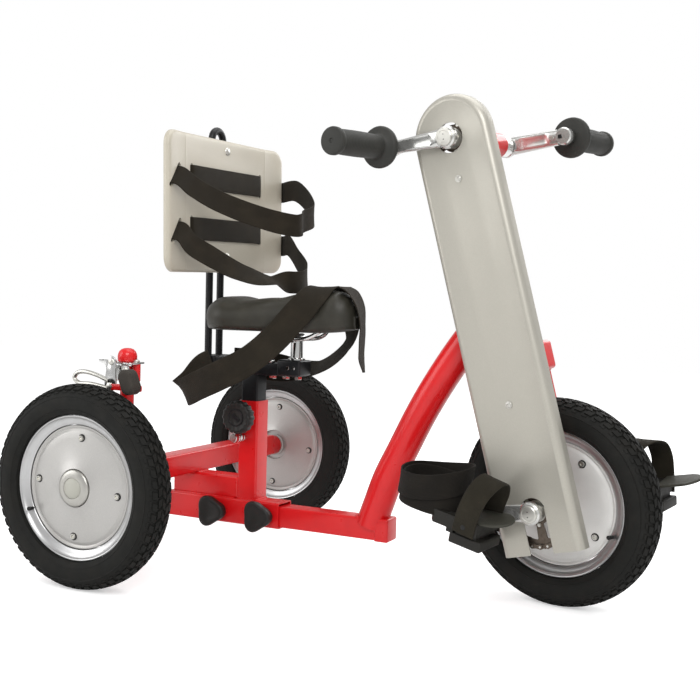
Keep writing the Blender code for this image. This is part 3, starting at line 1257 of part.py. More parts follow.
def laid_webbing(points):
    """Points round the saddle, given as shares of its length."""
    base = SEAT_BAR_TOP + 0.010
    return [(SADDLE_REAR + x * SADDLE_LENGTH, y * SADDLE_LENGTH, base + z * SADDLE_LENGTH)
            for x, y, z in points]


def build_lap_belt():
    """Lap belt: two halves from behind the seat, laid over the saddle, and a hanging end."""
    open_belt("lap_belt_right", laid_webbing(
              [(0.0000, -0.1307, -0.0795), (-0.0606, -0.1383, -0.1098), (-0.1250, -0.1742, -0.2045),
               (-0.1705, -0.2159, -0.2652), (-0.1212, -0.2652, -0.2689), (0.0152, -0.3144, -0.2159),
               (0.1970, -0.3447, -0.1402), (0.3864, -0.3333, -0.0455), (0.5303, -0.2727, 0.0852),
               (0.6705, -0.1894, 0.2708), (0.7348, -0.1364, 0.3674), (0.7689, -0.0606, 0.4280),
               (0.7803, -0.0076, 0.4348)]),
              [(0, 0, 1), (-0.2, 0, 1), (-0.5, 0, 0.85), (-0.56, 0, 0.83),
               (-0.55, 0, 0.83), (-0.4, 0, 0.92), (-0.6, 0, 0.8), (-0.8, 0, 0.6),
               (-0.76, 0, 0.65), (-0.76, -0.1, 0.6), (-0.85, 0.1, 0.45), (-0.97, 0.1, 0.1),
               (-1, 0.1, -0.03)])
    open_belt("lap_belt_left", laid_webbing(
              [(0.0000, 0.1307, -0.0795), (0.1212, 0.1477, -0.0833), (0.2727, 0.1970, -0.1061),
               (0.4432, 0.2121, -0.1212), (0.5909, 0.1970, -0.1023), (0.7348, 0.1894, -0.0303),
               (0.8333, 0.1856, 0.0682), (0.8617, 0.1780, 0.1591), (0.8485, 0.1723, 0.2652),
               (0.8106, 0.1439, 0.3788), (0.7879, 0.0644, 0.4280), (0.7803, 0.0076, 0.4348)]),
              [(0, 0, 1), (0, 0, 1), (-0.15, 0.1, 1), (-0.45, 0.6, 0.6),
               (-0.58, 0.78, 0.28), (-0.58, 0.8, 0.22), (-0.6, 0.78, 0.18), (-0.75, 0.5, 0.15),
               (-0.95, 0.25, 0.1), (-1, 0.1, 0.1), (-1, 0.1, 0.02), (-1, 0.1, -0.03)])
    open_belt("lap_belt_tail", laid_webbing(
              [(0.8920, 0.0000, 0.4375), (0.9470, 0.0000, 0.4110), (1.0057, 0.0000, 0.3220),
               (1.0265, 0.0000, 0.2008), (1.0246, 0.0000, 0.0871), (1.0246, 0.0000, -0.0152),
               (1.0436, 0.0000, -0.0947)]),
              [(0, 1, 0), (-0.05, 1, 0), (-0.15, 0.98, 0), (-0.26, 0.97, 0),
               (-0.26, 0.97, 0), (-0.26, 0.97, 0.04), (-0.26, 0.97, 0.08)])


def lobed_outline(radius, lobe, lobes, steps, start=0.0):
    points = []
    for step in range(steps):
        angle = 2 * math.pi * step / steps
        reach = radius + lobe * math.cos(lobes * (angle - start))
        points.append((reach * math.cos(angle), reach * math.sin(angle)))
    return points


def clamp_knob(name, centre, face, radius, lobe, lobes, steps, depth, stem_end, finish):
    """A hand knob on a screw that runs along Y and bears on the tube inside."""
    hub = datum(name + "_axis", MACHINE, centre)
    knob = piece(name, slab(lobed_outline(radius, lobe, lobes, steps, math.radians(80)), face - depth, face,
                            0.004, 1), hub, finish)
    stem = guide(name + "_stem", rod((0, face - 0.005, 0), (0, stem_end, 0), KNOB_STEM_RADIUS, 10), hub)
    neck = guide(name + "_neck", rod((0, face - 0.004, 0), (0, face + 0.0045, 0), 0.010, 14), hub)
    join(knob, neck, stem)


def build_knobs():
    for index, x in enumerate(BOOM_KNOBS):
        surface = -SLEEVE / 2
        clamp_knob(f"boom_knob_{index + 1}", (x, 0, SLEEVE_Z), surface - 0.0052, BOOM_KNOB_RADIUS,
                   BOOM_KNOB_LOBE, 3, 24, KNOB_DEPTH - 0.004, -BEAM / 2 - GAP, "black_plastic")
    surface = -TUBE / 2
    clamp_knob("seat_knob", (SEAT_TUBE_X, 0, SEAT_KNOB_Z), surface - 0.019, SEAT_KNOB_RADIUS, SEAT_KNOB_LOBE,
               8, 24, 0.021, -MAST / 2 - GAP, "black_plastic")
    pin = piece("pull_pin", rod((PULL_PIN_X, -MAST / 2 - GAP, PULL_PIN_Z), (PULL_PIN_X, -0.046, PULL_PIN_Z),
                                PULL_PIN_RADIUS, 10), MACHINE, "chrome")
    join(pin, guide("pull_pin_grip", rod((PULL_PIN_X, -0.034, PULL_PIN_Z), (PULL_PIN_X, -0.049, PULL_PIN_Z),
                                         0.0075, 12), MACHINE))
    barrel = [(PULL_PIN_RADIUS + GAP, 0.0128), (0.0060, 0.0128), (0.0078, 0.0108), (0.0078, 0.0),
              (PULL_PIN_RADIUS + GAP, 0.0)]
    body = piece("pull_pin_barrel", turned_mesh("pull_pin_barrel", barrel), MACHINE, "chrome",
                 (math.pi / 2, 0, 0), (PULL_PIN_X, -TUBE / 2 - GAP, PULL_PIN_Z))
    add_screw(body, 16)


def build_brake():
    post_x, post_y = BRAKE_POST
    cap_low = BRAKE_POST_TOP - 0.008
    wall = BRAKE_POST_RADIUS + RUNNING_GAP
    profile = [(0.0, 0.0215), (0.0060, 0.0205), (0.0105, 0.0170), (BRAKE_CAP_RADIUS, 0.0110),
               (BRAKE_CAP_RADIUS, 0.0), (wall, 0.0), (wall, 0.0080 + GAP), (0.0, 0.0080 + GAP)]
    cap = piece("brake_post_cap", turned_mesh("brake_post_cap", profile), MACHINE, "red_paint",
                location=(post_x, post_y, cap_low))
    add_screw(cap, 16)
    px, pz = BRAKE_PIVOT
    high = cap_low - 0.0008
    low = high - 0.020
    bracket = piece("brake_bracket", box((post_x - 0.0145, post_y - 0.0145, low), (post_x + 0.034, post_y + 0.0145, high),
                                         0.002), MACHINE, "steel")
    side_low = (px - 0.0052, post_y - 0.0245, pz - 0.034)
    side_high = (post_x + 0.0290, post_y - 0.0130, high - 0.0037)
    join(bracket, guide("bracket_side", box(side_low, side_high, 0.0015), MACHINE))
    carve(bracket, guide("bracket_bore", drill((post_x, post_y, low - 0.01), (post_x, post_y, high + 0.01),
                                              BRAKE_POST_RADIUS + GAP, 14), MACHINE))
    pivot = datum("brake_pivot", MACHINE, (px, 0, pz))
    near = BRAKE_ARM_Y - 0.006
    far = BRAKE_ARM_Y
    lever_outline = [(0.008, 0.006), (0.0, 0.010), (-0.010, 0.009), (-0.024, 0.008), (-0.026, 0.0),
                     (-0.014, -0.003), (-0.010, -0.010), (-0.014, -0.034), (-0.012, -0.042), (0.004, -0.046),
                     (0.010, -0.036), (0.008, -0.020)]
    lever = piece("brake_lever", slab(lever_outline, near, far, 0.001, 1, True), pivot, "chrome")
    loop = [(-0.008, -0.030), (-0.030, -0.022), (-0.056, -0.018), (-0.070, -0.021), (-0.075, -0.029),
            (-0.067, -0.036), (-0.040, -0.037), (-0.006, -0.042)]
    y = (near + far) / 2
    handle = as_mesh(wire("brake_handle", [(x, y, z) for x, z in loop], 0.0026, 2), pivot, "brake_handle")
    arm = guide("pad_arm", box((-0.002, near + 0.001, -0.044), (0.060, far - 0.001, -0.034), 0.001), pivot)
    join(lever, handle, arm)
    (x0, z0), (x1, z1) = BRAKE_PAD_ENDS
    tilt = math.degrees(math.atan2(z1 - z0, x1 - x0))
    outline = arc((x0 - px, z0 - pz), BRAKE_PAD_RADIUS, tilt + 90, tilt + 270, 8)
    outline += arc((x1 - px, z1 - pz), BRAKE_PAD_RADIUS, tilt - 90, tilt + 90, 8)
    piece("brake_pad", slab(outline, near - 0.036, near - GAP, 0.003, 1, True), pivot, "grip_rubber")


def centre_on_ground():
    """Put the world origin on the ground under the middle of the whole machine."""
    bpy.context.view_layer.update()
    graph = bpy.context.evaluated_depsgraph_get()
    xs = []
    zs = []
    for item in PARTS.objects:
        shape = item.evaluated_get(graph)
        for vert in shape.to_mesh().vertices:
            place = shape.matrix_world @ vert.co
            xs.append(place.x)
            zs.append(place.z)
        shape.to_mesh_clear()
    MACHINE.location = (-(min(xs) + max(xs)) / 2, 0, -min(zs))
    bpy.context.view_layer.update()


build_rear_frame()
build_rear_wheels()
build_boom()
build_fork()
build_cover()
build_chain()
build_drive()
build_seat()
build_backrest()
build_chest_belts()
build_lap_belt()
build_knobs()
build_brake()
centre_on_ground()
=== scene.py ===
"""Looks of the adaptive tricycle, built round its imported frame. +Z up, +X forward.

Shapes are drawn in millimetres and degrees. MACHINE and the places built on it turn them into metres.
"""
import math

import bmesh
import bpy
from mathutils import Matrix, Vector, noise


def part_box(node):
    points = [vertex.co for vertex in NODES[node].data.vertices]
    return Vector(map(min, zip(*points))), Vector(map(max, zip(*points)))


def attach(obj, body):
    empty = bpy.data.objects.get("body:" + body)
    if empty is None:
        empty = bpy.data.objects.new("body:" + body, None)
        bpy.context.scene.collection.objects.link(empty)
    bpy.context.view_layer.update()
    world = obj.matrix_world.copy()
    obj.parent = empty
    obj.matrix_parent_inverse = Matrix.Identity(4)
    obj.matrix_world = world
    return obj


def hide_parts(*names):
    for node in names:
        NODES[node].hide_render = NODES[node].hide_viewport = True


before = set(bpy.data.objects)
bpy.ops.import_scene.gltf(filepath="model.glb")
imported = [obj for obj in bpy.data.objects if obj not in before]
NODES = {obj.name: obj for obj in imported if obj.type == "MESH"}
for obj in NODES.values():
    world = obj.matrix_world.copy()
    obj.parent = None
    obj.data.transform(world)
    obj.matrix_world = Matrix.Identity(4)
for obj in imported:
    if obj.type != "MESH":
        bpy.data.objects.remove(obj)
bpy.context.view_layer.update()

# Sizes shared with the solids
MM = 0.001
TYRE_RADIUS = 159
TYRE_STEPS = 32
AXLE = TYRE_RADIUS * math.cos(math.pi / TYRE_STEPS)
WHEELBASE = 667
HALF_TRACK = 299
RIM_RADIUS = 112.6
HEAD_LEAN = 15
STEER_AT_REST = -11.2
TUBE = 38
CROSS_Z = AXLE + 4.5
RAIL_BOTTOM = CROSS_Z - TUBE * 1.5
SLEEVE = 44
SLEEVE_Z = RAIL_BOTTOM - SLEEVE / 2
BEAM_Z = SLEEVE_Z - 1.8
SEAT_X = 122.5
POST_X = 22
POST_Y = -222
HAND_HEIGHT = 567
COVER_FACE = -84
CHAIN_PITCH = 12.7
CHAIN_PLANE = -70.5
TEETH = 26
PITCH_RADIUS = CHAIN_PITCH / (2 * math.sin(math.pi / TEETH))
STRAP = 38
LAP_STRAP = 50
HAND_ARM = 102
FOOT_ARM = 89
CRANK_PHASE = 186 - HEAD_LEAN
SADDLE_REAR = 58
SADDLE_LENGTH = 264
SADDLE_LOW = 399
PANEL_FRONT = 60
PANEL_EDGE = 180
PANEL_ROLL = 1.6
CREASE = 125
FOLD = math.tan(math.radians(8))
BELT_SLOT = 108
UPPER_WING = ((-144, 676), (-176, 636))
LOWER_WING = ((-141, 587), (-173, 546))
SIDES = (("right", -1), ("left", 1))
UP = (0, 0, 1)


def polar(radius, degrees):
    turn = math.radians(degrees)
    return radius * math.cos(turn), radius * math.sin(turn)


def move(x, y, z):
    return Matrix.Translation((x, y, z))


def spin(axis, degrees):
    return Matrix.Rotation(math.radians(degrees), 4, axis)


rear_low, rear_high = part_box("right_wheel_tyre")
rear_middle = (rear_low + rear_high) / 2
MACHINE = move(rear_middle.x, 0, rear_middle.z - AXLE * MM) @ Matrix.Scale(MM, 4)
HEAD = MACHINE @ move(WHEELBASE, 0, AXLE) @ spin("Y", -HEAD_LEAN)
STEER = HEAD @ spin("Z", STEER_AT_REST)
HANDS = STEER @ move(0, 0, HAND_HEIGHT)
rolled_y, rolled_x = polar(614, 90 - PANEL_ROLL)
ROLLED = MACHINE @ move(0, rolled_y, 614 - rolled_x) @ spin("X", PANEL_ROLL)


class Value:
    """A shader number that can be added, multiplied and so on."""

    def __init__(self, tree, socket):
        self.tree = tree
        self.socket = socket

    def step(self, operation, other=None):
        node = self.tree.nodes.new("ShaderNodeMath")
        node.operation = operation
        self.tree.links.new(self.socket, node.inputs[0])
        if isinstance(other, Value):
            self.tree.links.new(other.socket, node.inputs[1])
        elif other is not None:
            node.inputs[1].default_value = other
        return Value(self.tree, node.outputs[0])

    def __add__(self, other):
        return self.step("ADD", other)

    def __sub__(self, other):
        return self.step("SUBTRACT", other)

    def __mul__(self, other):
        return self.step("MULTIPLY", other)

    def wave(self, length):
        return (self * (2 * math.pi / length / MM)).step("SINE")

    def clamp(self, low, high):
        return self.step("MAXIMUM", low).step("MINIMUM", high)


class Finish:
    """One Principled material and the textures that feed it, their sizes in millimetres."""

    def __init__(self, name, colour, roughness, metallic=0.0, coat=0.0, sheen=0.0, specular=0.5):
        self.material = bpy.data.materials.new(name)
        self.material.use_nodes = True
        self.material.diffuse_color = (*colour, 1)
        self.tree = self.material.node_tree
        self.inputs = self.tree.nodes["Principled BSDF"].inputs
        for label, value in (("Base Color", (*colour, 1)), ("Roughness", roughness),
                             ("Metallic", metallic),
                             ("Coat Weight", coat), ("Coat Roughness", 0.12), ("Sheen Weight", sheen),
                             ("Sheen Roughness", 0.5), ("Specular IOR Level", specular)):
            self.inputs[label].default_value = value
        self.coords = self.tree.nodes.new("ShaderNodeTexCoord").outputs

    def noise(self, size, detail):
        node = self.tree.nodes.new("ShaderNodeTexNoise")
        node.inputs["Scale"].default_value = 1 / size / MM
        node.inputs["Detail"].default_value = detail
        self.tree.links.new(self.coords["Object"], node.inputs["Vector"])
        return Value(self.tree, node.outputs["Fac"])

    def cells(self, size, feature):
        node = self.tree.nodes.new("ShaderNodeTexVoronoi")
        node.feature = feature
        node.inputs["Scale"].default_value = 1 / size / MM
        self.tree.links.new(self.coords["Object"], node.inputs["Vector"])
        return Value(self.tree, node.outputs["Distance"])

    def strap_axes(self):
        """Distances along and across a strap, in metres."""
        node = self.tree.nodes.new("ShaderNodeSeparateXYZ")
        self.tree.links.new(self.coords["UV"], node.inputs[0])
        return [Value(self.tree, node.outputs[index]) for index in range(2)]

    def tint(self, amount, colour):
        """Mix another colour in by a shader number."""
        node = self.tree.nodes.new("ShaderNodeMix")
        node.data_type = "RGBA"
        self.tree.links.new(amount.socket, node.inputs["Factor"])
        base = self.inputs["Base Color"]
        if base.is_linked:
            self.tree.links.new(base.links[0].from_socket, node.inputs[6])
        else:
            node.inputs[6].default_value = base.default_value
        node.inputs[7].default_value = (*colour, 1)
        self.tree.links.new(node.outputs[2], base)

    def rough(self, amount):
        self.tree.links.new(amount.socket, self.inputs["Roughness"])

    def bump(self, height, distance, strength):
        node = self.tree.nodes.new("ShaderNodeBump")
        node.inputs["Strength"].default_value = strength
        node.inputs["Distance"].default_value = distance * MM
        self.tree.links.new(height.socket, node.inputs["Height"])
        normal = self.inputs["Normal"]
        if normal.is_linked:
            self.tree.links.new(normal.links[0].from_socket, node.inputs["Normal"])
        self.tree.links.new(node.outputs["Normal"], normal)


def coated(name, colour, roughness, stains, gloss, relief, **look):
    """A finish with soft stains, a roughness that wanders and a fine relief of noise or cells."""
    finish = Finish(name, colour, roughness, **look)
    for size, detail, start, top, tone, gain in stains:
        finish.tint((finish.noise(size, detail) - start).clamp(0, top) * gain, tone)
    size, detail, spread, base = gloss
    finish.rough(finish.noise(size, detail) * spread + base)
    for size, detail, distance, strength in relief:
        height = finish.cells(size, detail) if isinstance(detail, str) else finish.noise(size, detail)
        finish.bump(height, distance, strength)
    return finish


def disc_paint(name, colour, metallic):
    stains = [(60, 4, 0.45, 0.4, (0.32, 0.31, 0.29), 1), (1.1, 2, 0.4, 0.4, (0.56, 0.55, 0.52), 1)]
    return coated(name, colour, 0.36, stains, (30, 5, 0.20, 0.26), [(30, 3, 0.6, 0.25)],
                  metallic=metallic, coat=0.1)


def bright_metal(name, colour, roughness, dull, wear=1.0, metallic=1.0):
    return coated(name, colour, roughness, [(15, 4, 0.52, 0.35, dull, wear)],
                  (8, 5, 0.14 * wear, roughness - 0.04), [(12, 3, 0.3, 0.20 * wear)], metallic=metallic)


def moulded(name, colour, roughness, grain, worn):
    return coated(name, colour, roughness, [(25, 4, 0.5, 0.4, worn, 1)], (10, 4, 0.18, roughness - 0.08),
                  [(grain, "F1", grain * 0.25, 0.25)], specular=0.28)


def webbing(name, colour, light):
    """Woven strap: ribs along it, picks across it and a denser woven edge."""
    finish = Finish(name, colour, 0.85, sheen=0.04, specular=0.12)
    along, across = finish.strap_axes()
    ribs = across.wave(1.9)
    picks = (along + ribs.step("SIGN") * (0.4 * MM)).wave(1.6)
    weave = ribs * 0.5 + picks * 0.5
    finish.tint((weave * 0.5 + 0.5).clamp(0, 1) * 0.35, light)
    finish.tint((finish.noise(30, 4) - 0.45).clamp(0, 0.4) * 1.2, light)
    edge = (across.step("ABSOLUTE") - (STRAP / 2 - 3.2) * MM).step("ABSOLUTE") * 900.0
    finish.bump(edge.clamp(0, 1), 0.5, 0.5)
    finish.bump(weave, 0.35, 0.6)
    finish.rough(finish.noise(10, 4) * 0.2 + 0.70)
    return finish


# Each finish with the slot that it usually fills
FINISHES = {
    "red": ("red_paint", coated(
        "red_powder_coat", (0.62, 0.007, 0.009), 0.32, [(45, 4, 0.5, 0.25, (0.42, 0.004, 0.007), 1.6)],
        (20, 4, 0.16, 0.22), [(1.6, 2, 0.12, 0.35)], coat=0.22, specular=0.35)),
    "cover": ("silver_paint", coated(
        "silver_satin_enamel", (0.395, 0.378, 0.33), 0.40,
        [(0.9, 2, 0.35, 0.45, (0.52, 0.50, 0.44), 1), (120, 4, 0.45, 0.4, (0.34, 0.325, 0.285), 1)],
        (50, 5, 0.14, 0.34), [(0.7, 2, 0.05, 0.30)], metallic=0.45, coat=0.15)),
    "chain": ("chain_steel", coated(
        "oiled_chain_steel", (0.13, 0.105, 0.085), 0.38, [(6, 5, 0.45, 0.5, (0.05, 0.032, 0.022), 1.6)],
        (4, 4, 0.35, 0.24), [(2, 3, 0.2, 0.4)], metallic=0.9)),
    "tyre": ("tyre_rubber", coated(
        "tyre_rubber", (0.008, 0.008, 0.007), 0.72, [(30, 5, 0.45, 0.5, (0.022, 0.019, 0.015), 1)],
        (12, 5, 0.25, 0.56), [(1.2, 3, 0.2, 0.35)], specular=0.18)),
    "grip": ("grip_rubber", coated(
        "grip_rubber", (0.028, 0.028, 0.025), 0.60, [(20, 4, 0.45, 0.4, (0.058, 0.056, 0.049), 1)],
        (10, 4, 0.2, 0.46), [(1.1, 2, 0.2, 0.35)], specular=0.25)),
    "vinyl": ("saddle_skin", coated(
        "saddle_vinyl", (0.026, 0.024, 0.018), 0.46, [(30, 4, 0.42, 0.5, (0.060, 0.055, 0.042), 1)],
        (12, 4, 0.20, 0.34), [(2.1, "DISTANCE_TO_EDGE", 0.4, 0.35), (20, 3, 1.0, 0.25)], specular=0.30)),
    "panel": ("panel_plastic", coated(
        "panel_sheet", (0.44, 0.405, 0.330), 0.42,
        [(100, 4, 0.45, 0.4, (0.36, 0.33, 0.27), 1), (2, 3, 0.5, 0.3, (0.54, 0.50, 0.42), 1)],
        (20, 4, 0.16, 0.34), [(1.4, "F1", 0.2, 0.25)], coat=0.1)),
    "disc": ("disc_silver", disc_paint("disc_satin_silver", (0.41, 0.40, 0.385), 0.40)),
    # Front disc paint: the rear discs' satin silver made lighter and less metallic. This is painted
    # light that offsets the shade the chain cover casts on the front disc.
    "front_disc": ("disc_silver", disc_paint("front_painted_light_disc_silver", (0.66, 0.65, 0.63), 0.10)),
    "chrome": ("chrome", bright_metal(
        "chrome_plate", (0.66, 0.66, 0.65), 0.13, (0.50, 0.48, 0.46), 0.6)),
    "rim": ("chrome", bright_metal("rim_plate", (0.50, 0.50, 0.50), 0.32, (0.34, 0.33, 0.32))),
    "arm": ("chrome", bright_metal(
        "arm_plate", (0.60, 0.60, 0.58), 0.26, (0.48, 0.46, 0.42), 0.25, 0.82)),
    "zinc": ("steel", bright_metal("zinc_plate", (0.58, 0.57, 0.53), 0.30, (0.40, 0.38, 0.34))),
    "hub": ("ivory_plastic", bright_metal("hub_plate", (0.44, 0.43, 0.40), 0.34, (0.30, 0.29, 0.26))),
    "ivory": ("ivory_plastic", moulded(
        "ivory_plastic", (0.38, 0.375, 0.33), 0.36, 2.0, (0.31, 0.305, 0.265))),
    "plastic": ("black_plastic", moulded(
        "black_plastic", (0.009, 0.009, 0.009), 0.42, 1.2, (0.022, 0.021, 0.019))),
    "knob": ("black_plastic", moulded(
        "knob_plastic", (0.012, 0.011, 0.010), 0.46, 1.0, (0.028, 0.025, 0.021))),
    "sole": ("black_plastic", moulded(
        "sole_plastic", (0.012, 0.011, 0.009), 0.55, 1.6, (0.026, 0.024, 0.018))),
    "tongue": ("black_plastic", moulded(
        "sole_sheet", (0.036, 0.035, 0.027), 0.60, 1.6, (0.060, 0.058, 0.045))),
    "pad": ("grip_rubber", moulded(
        "brake_rubber", (0.030, 0.025, 0.020), 0.66, 1.4, (0.052, 0.044, 0.036))),
    "black": ("black_paint", moulded(
        "black_powder_coat", (0.007, 0.007, 0.008), 0.34, 1.2, (0.018, 0.018, 0.018))),
    "belt": ("webbing", webbing("olive_black_webbing", (0.013, 0.0105, 0.007), (0.036, 0.028, 0.018))),
    "toe_belt": ("webbing", webbing("olive_webbing", (0.014, 0.012, 0.008), (0.036, 0.030, 0.019))),
    "foot_belt": ("webbing", webbing("black_webbing", (0.007, 0.006, 0.005), (0.020, 0.016, 0.011))),
}


def solid(name, bm, place):
    """A shape as an object of its own."""
    bm.transform(place)
    bmesh.ops.recalc_face_normals(bm, faces=bm.faces)
    mesh = bpy.data.meshes.new(name)
    bm.to_mesh(mesh)
    bm.free()
    item = bpy.data.objects.new(name, mesh)
    bpy.context.scene.collection.objects.link(item)
    return item


def modify(item, kind, **settings):
    modifier = item.modifiers.new("change", kind)
    for setting, value in settings.items():
        setattr(modifier, setting, value)


def settle(item):
    """Put the result of the modifiers into the mesh."""
    bpy.context.view_layer.update()
    graph = bpy.context.evaluated_depsgraph_get()
    mesh = bpy.data.meshes.new_from_object(item.evaluated_get(graph))
    item.modifiers.clear()
    item.data = mesh


def piece(name, bm, body, finish, place=MACHINE, slot=None, replaces=(), bevel=0, segments=3,
          cuts=(), sharp=38):
    """One finished piece: placed, cut, rounded, painted and tied to its body."""
    item = solid(name, bm, place)
    cutters = [solid(name + "_cut", cut, place) for cut in cuts]
    for cutter in cutters:
        modify(item, "BOOLEAN", operation="DIFFERENCE", solver="EXACT", object=cutter)
    if cutters:
        settle(item)
    for cutter in cutters:
        bpy.data.objects.remove(cutter)
    if bevel:
        modify(item, "BEVEL", width=bevel * MM, segments=segments, limit_method="ANGLE",
               angle_limit=math.radians(34), miter_outer="MITER_ARC")
        settle(item)
    usual_slot, paint = FINISHES[finish]
    item.data.shade_smooth()
    item.data.set_sharp_from_angle(angle=math.radians(sharp))
    item.data.materials.clear()
    item.data.materials.append(paint.material)
    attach(item, body)
    if replaces:
        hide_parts(*replaces)
    return item


def dress(name, *settings, **more):
    """A piece that stands for the solid of the same name."""
    return piece(name + "_dressed", *settings, replaces=(name,), **more)


def merge(*shapes):
    """Several bmeshes as one."""
    whole = bmesh.new()
    for shape in shapes:
        mesh = bpy.data.meshes.new("part")
        shape.to_mesh(mesh)
        shape.free()
        whole.from_mesh(mesh)
        bpy.data.meshes.remove(mesh)
    return whole


def bulge(number, power):
    """A power that keeps the sign of its number."""
    return math.copysign(abs(number) ** power, number)


def circle(radius, count):
    return [polar(radius, 360 * step / count) for step in range(count)]


def arc(cx, cy, radius, start, end, steps):
    spots = [polar(radius, start + (end - start) * step / steps) for step in range(steps + 1)]
    return [(cx + x, cy + y) for x, y in spots]


def fillet(points, radius, steps=4):
    """Round the corners of a flat outline."""
    result = []
    for index, point in enumerate(points):
        here = Vector(point)
        back = Vector(points[index - 1]) - here
        ahead = Vector(points[(index + 1) % len(points)]) - here
        span = min(radius, back.length * 0.49, ahead.length * 0.49)
        one = here + back.normalized() * span
        two = here + ahead.normalized() * span
        for step in range(steps + 1):
            t = step / steps
            result.append(tuple(one * (1 - t) ** 2 + here * 2 * t * (1 - t) + two * t ** 2))
    return result


def oblong(x0, y0, x1, y1, radius, steps=4):
    """A rectangle with round corners."""
    return fillet([(x0, y0), (x1, y0), (x1, y1), (x0, y1)], radius, steps)


def skin(rings, closed=False, caps=True, match=False):
    """A surface through rings of points, where a ring may be one point and may be turned to match."""
    bm = bmesh.new()
    loops = [[bm.verts.new(point) for point in ring] for ring in rings]
    count = max(len(loop) for loop in loops)
    for one, two in zip(loops, loops[1:] + loops[:1] if closed else loops[1:]):
        turn = min(range(count), key=lambda k: (two[k].co - one[0].co).length) if match else 0
        for index in range(count):
            after = index + 1
            corners = (one[index % len(one)], one[after % len(one)], two[(after + turn) % len(two)],
                       two[(index + turn) % len(two)])
            unique = list(dict.fromkeys(corners))
            if len(unique) > 2:
                bm.faces.new(unique)
    if caps and not closed:
        bm.faces.new(loops[0])
        bm.faces.new(loops[-1])
    return bm


def stacked(outlines):
    """A closed shape through outlines in X and Z with their Y places."""
    return skin([[(x, y, z) for x, z in outline] for outline, y in outlines])


def prism(outline, low, high):
    """An outline in X and Z drawn out along Y."""
    return stacked([(outline, low), (outline, high)])


def flat_prism(outline, low, high):
    """An outline in X and Y drawn up along Z."""
    return skin([[(x, y, z) for x, y in outline] for z in (low, high)])


def block(low, high):
    bm = bmesh.new()
    size = [b - a for a, b in zip(low, high)]
    middle = [(a + b) / 2 for a, b in zip(low, high)]
    bmesh.ops.create_cube(bm, size=1.0,
                          matrix=Matrix.Translation(middle) @ Matrix.Diagonal((*size, 1.0)))
    return bm


def spun(profile, steps=48, start=(0, 0, 0), along=(0, 1, 0), closed=False):
    """A profile of radius and height turned round an axis."""
    rings = [[(x, height, z) for x, z in circle(radius, steps)] if radius else [(0, height, 0)]
             for radius, height in profile]
    bm = skin(rings, closed, caps=False)
    bm.transform(Matrix.Translation(start) @ Vector(along).to_track_quat("Y", "Z").to_matrix().to_4x4())
    return bm


def rod(start, end, radius, sides=32, edge=0):
    """A round bar between two points, its end edges rounded."""
    run = Vector(end) - Vector(start)
    rows = [(radius, 0), (radius, run.length)]
    if edge:
        inner = radius - edge
        rows = arc(inner, edge, edge, -90, 0, 3) + arc(inner, run.length - edge, edge, 0, 90, 3)
    return spun([(0, 0)] + rows + [(0, run.length)], sides, start, run)


def hexagon(start, end, across, socket=0):
    """A hexagon head with a chamfered top, or a round one with a hexagon socket."""
    run = Vector(end) - Vector(start)
    length = run.length
    half = across / 2
    if not socket:
        radius = half / math.cos(math.pi / 6)
        return spun([(0, 0), (radius, 0), (radius, length * 0.8), (radius * 0.88, length), (0, length)],
                    6, start, run)
    head = [(0, 0), (half, 0), (half, length * 0.7), (half * 0.86, length), (socket, length)]
    well = [(socket, length), (socket, length * 0.35), (0, length * 0.35)]
    return merge(spun(head, 24, start, run), spun(well, 6, start, run))


def spline(points, leans=None, step=6, closed=False):
    """Even points on a smooth curve through the given ones, with interpolated lean vectors."""
    points = [Vector(point) for point in points]
    leans = [Vector(lean) for lean in leans or [UP] * len(points)]
    count = len(points)
    fine = []
    for span in range(count if closed else count - 1):
        b = points[span]
        c = points[(span + 1) % count]
        a = points[span - 1] if closed or span > 0 else b * 2 - c
        d = points[(span + 2) % count] if closed or span + 2 < count else c * 2 - b
        tb = (b - a).length ** 0.5
        tc = tb + (c - b).length ** 0.5
        td = tc + (d - c).length ** 0.5
        for part in range(12):
            share = part / 12
            t = tb + (tc - tb) * share
            ab = a * ((tb - t) / tb) + b * (t / tb)
            bc = b * ((tc - t) / (tc - tb)) + c * ((t - tb) / (tc - tb))
            cd = c * ((td - t) / (td - tc)) + d * ((t - tc) / (td - tc))
            abc = ab * ((tc - t) / tc) + bc * (t / tc)
            bcd = bc * ((td - t) / (td - tb)) + cd * ((t - tb) / (td - tb))
            spot = abc * ((tc - t) / (tc - tb)) + bcd * ((t - tb) / (tc - tb))
            fine.append((spot, leans[span].lerp(leans[(span + 1) % count], share)))
    end = 0 if closed else -1
    fine.append((points[end], leans[end]))
    total = sum((two[0] - one[0]).length for one, two in zip(fine, fine[1:]))
    wanted = max(2, round(total / step))
    result = []
    walked = 0.0
    target = 0
    for one, two in zip(fine, fine[1:]):
        length = (two[0] - one[0]).length
        while target <= wanted and walked + length >= total * target / wanted - 1e-6:
            share = (total * target / wanted - walked) / max(length, 1e-6)
            result.append((one[0].lerp(two[0], share), one[1].lerp(two[1], share)))
            target += 1
        walked += length
    return result[:wanted] if closed else result


def heading(route, index, closed=False):
    """The direction of a route at one of its points."""
    before = index - 1 if closed or index > 0 else index
    after = (index + 1) % len(route) if closed or index < len(route) - 1 else index
    return (route[after] - route[before]).normalized()


def tube(points, radius, sides=28, step=8):
    """A round bar along a smooth route."""
    route = [spot for spot, _ in spline(points, step=step)]
    side = heading(route, 0).orthogonal()
    rings = []
    for index, spot in enumerate(route):
        run = heading(route, index)
        side = (side - side.dot(run) * run).normalized()
        other = run.cross(side)
        rings.append([spot + side * a + other * b for a, b in circle(radius, sides)])
    return skin(rings)


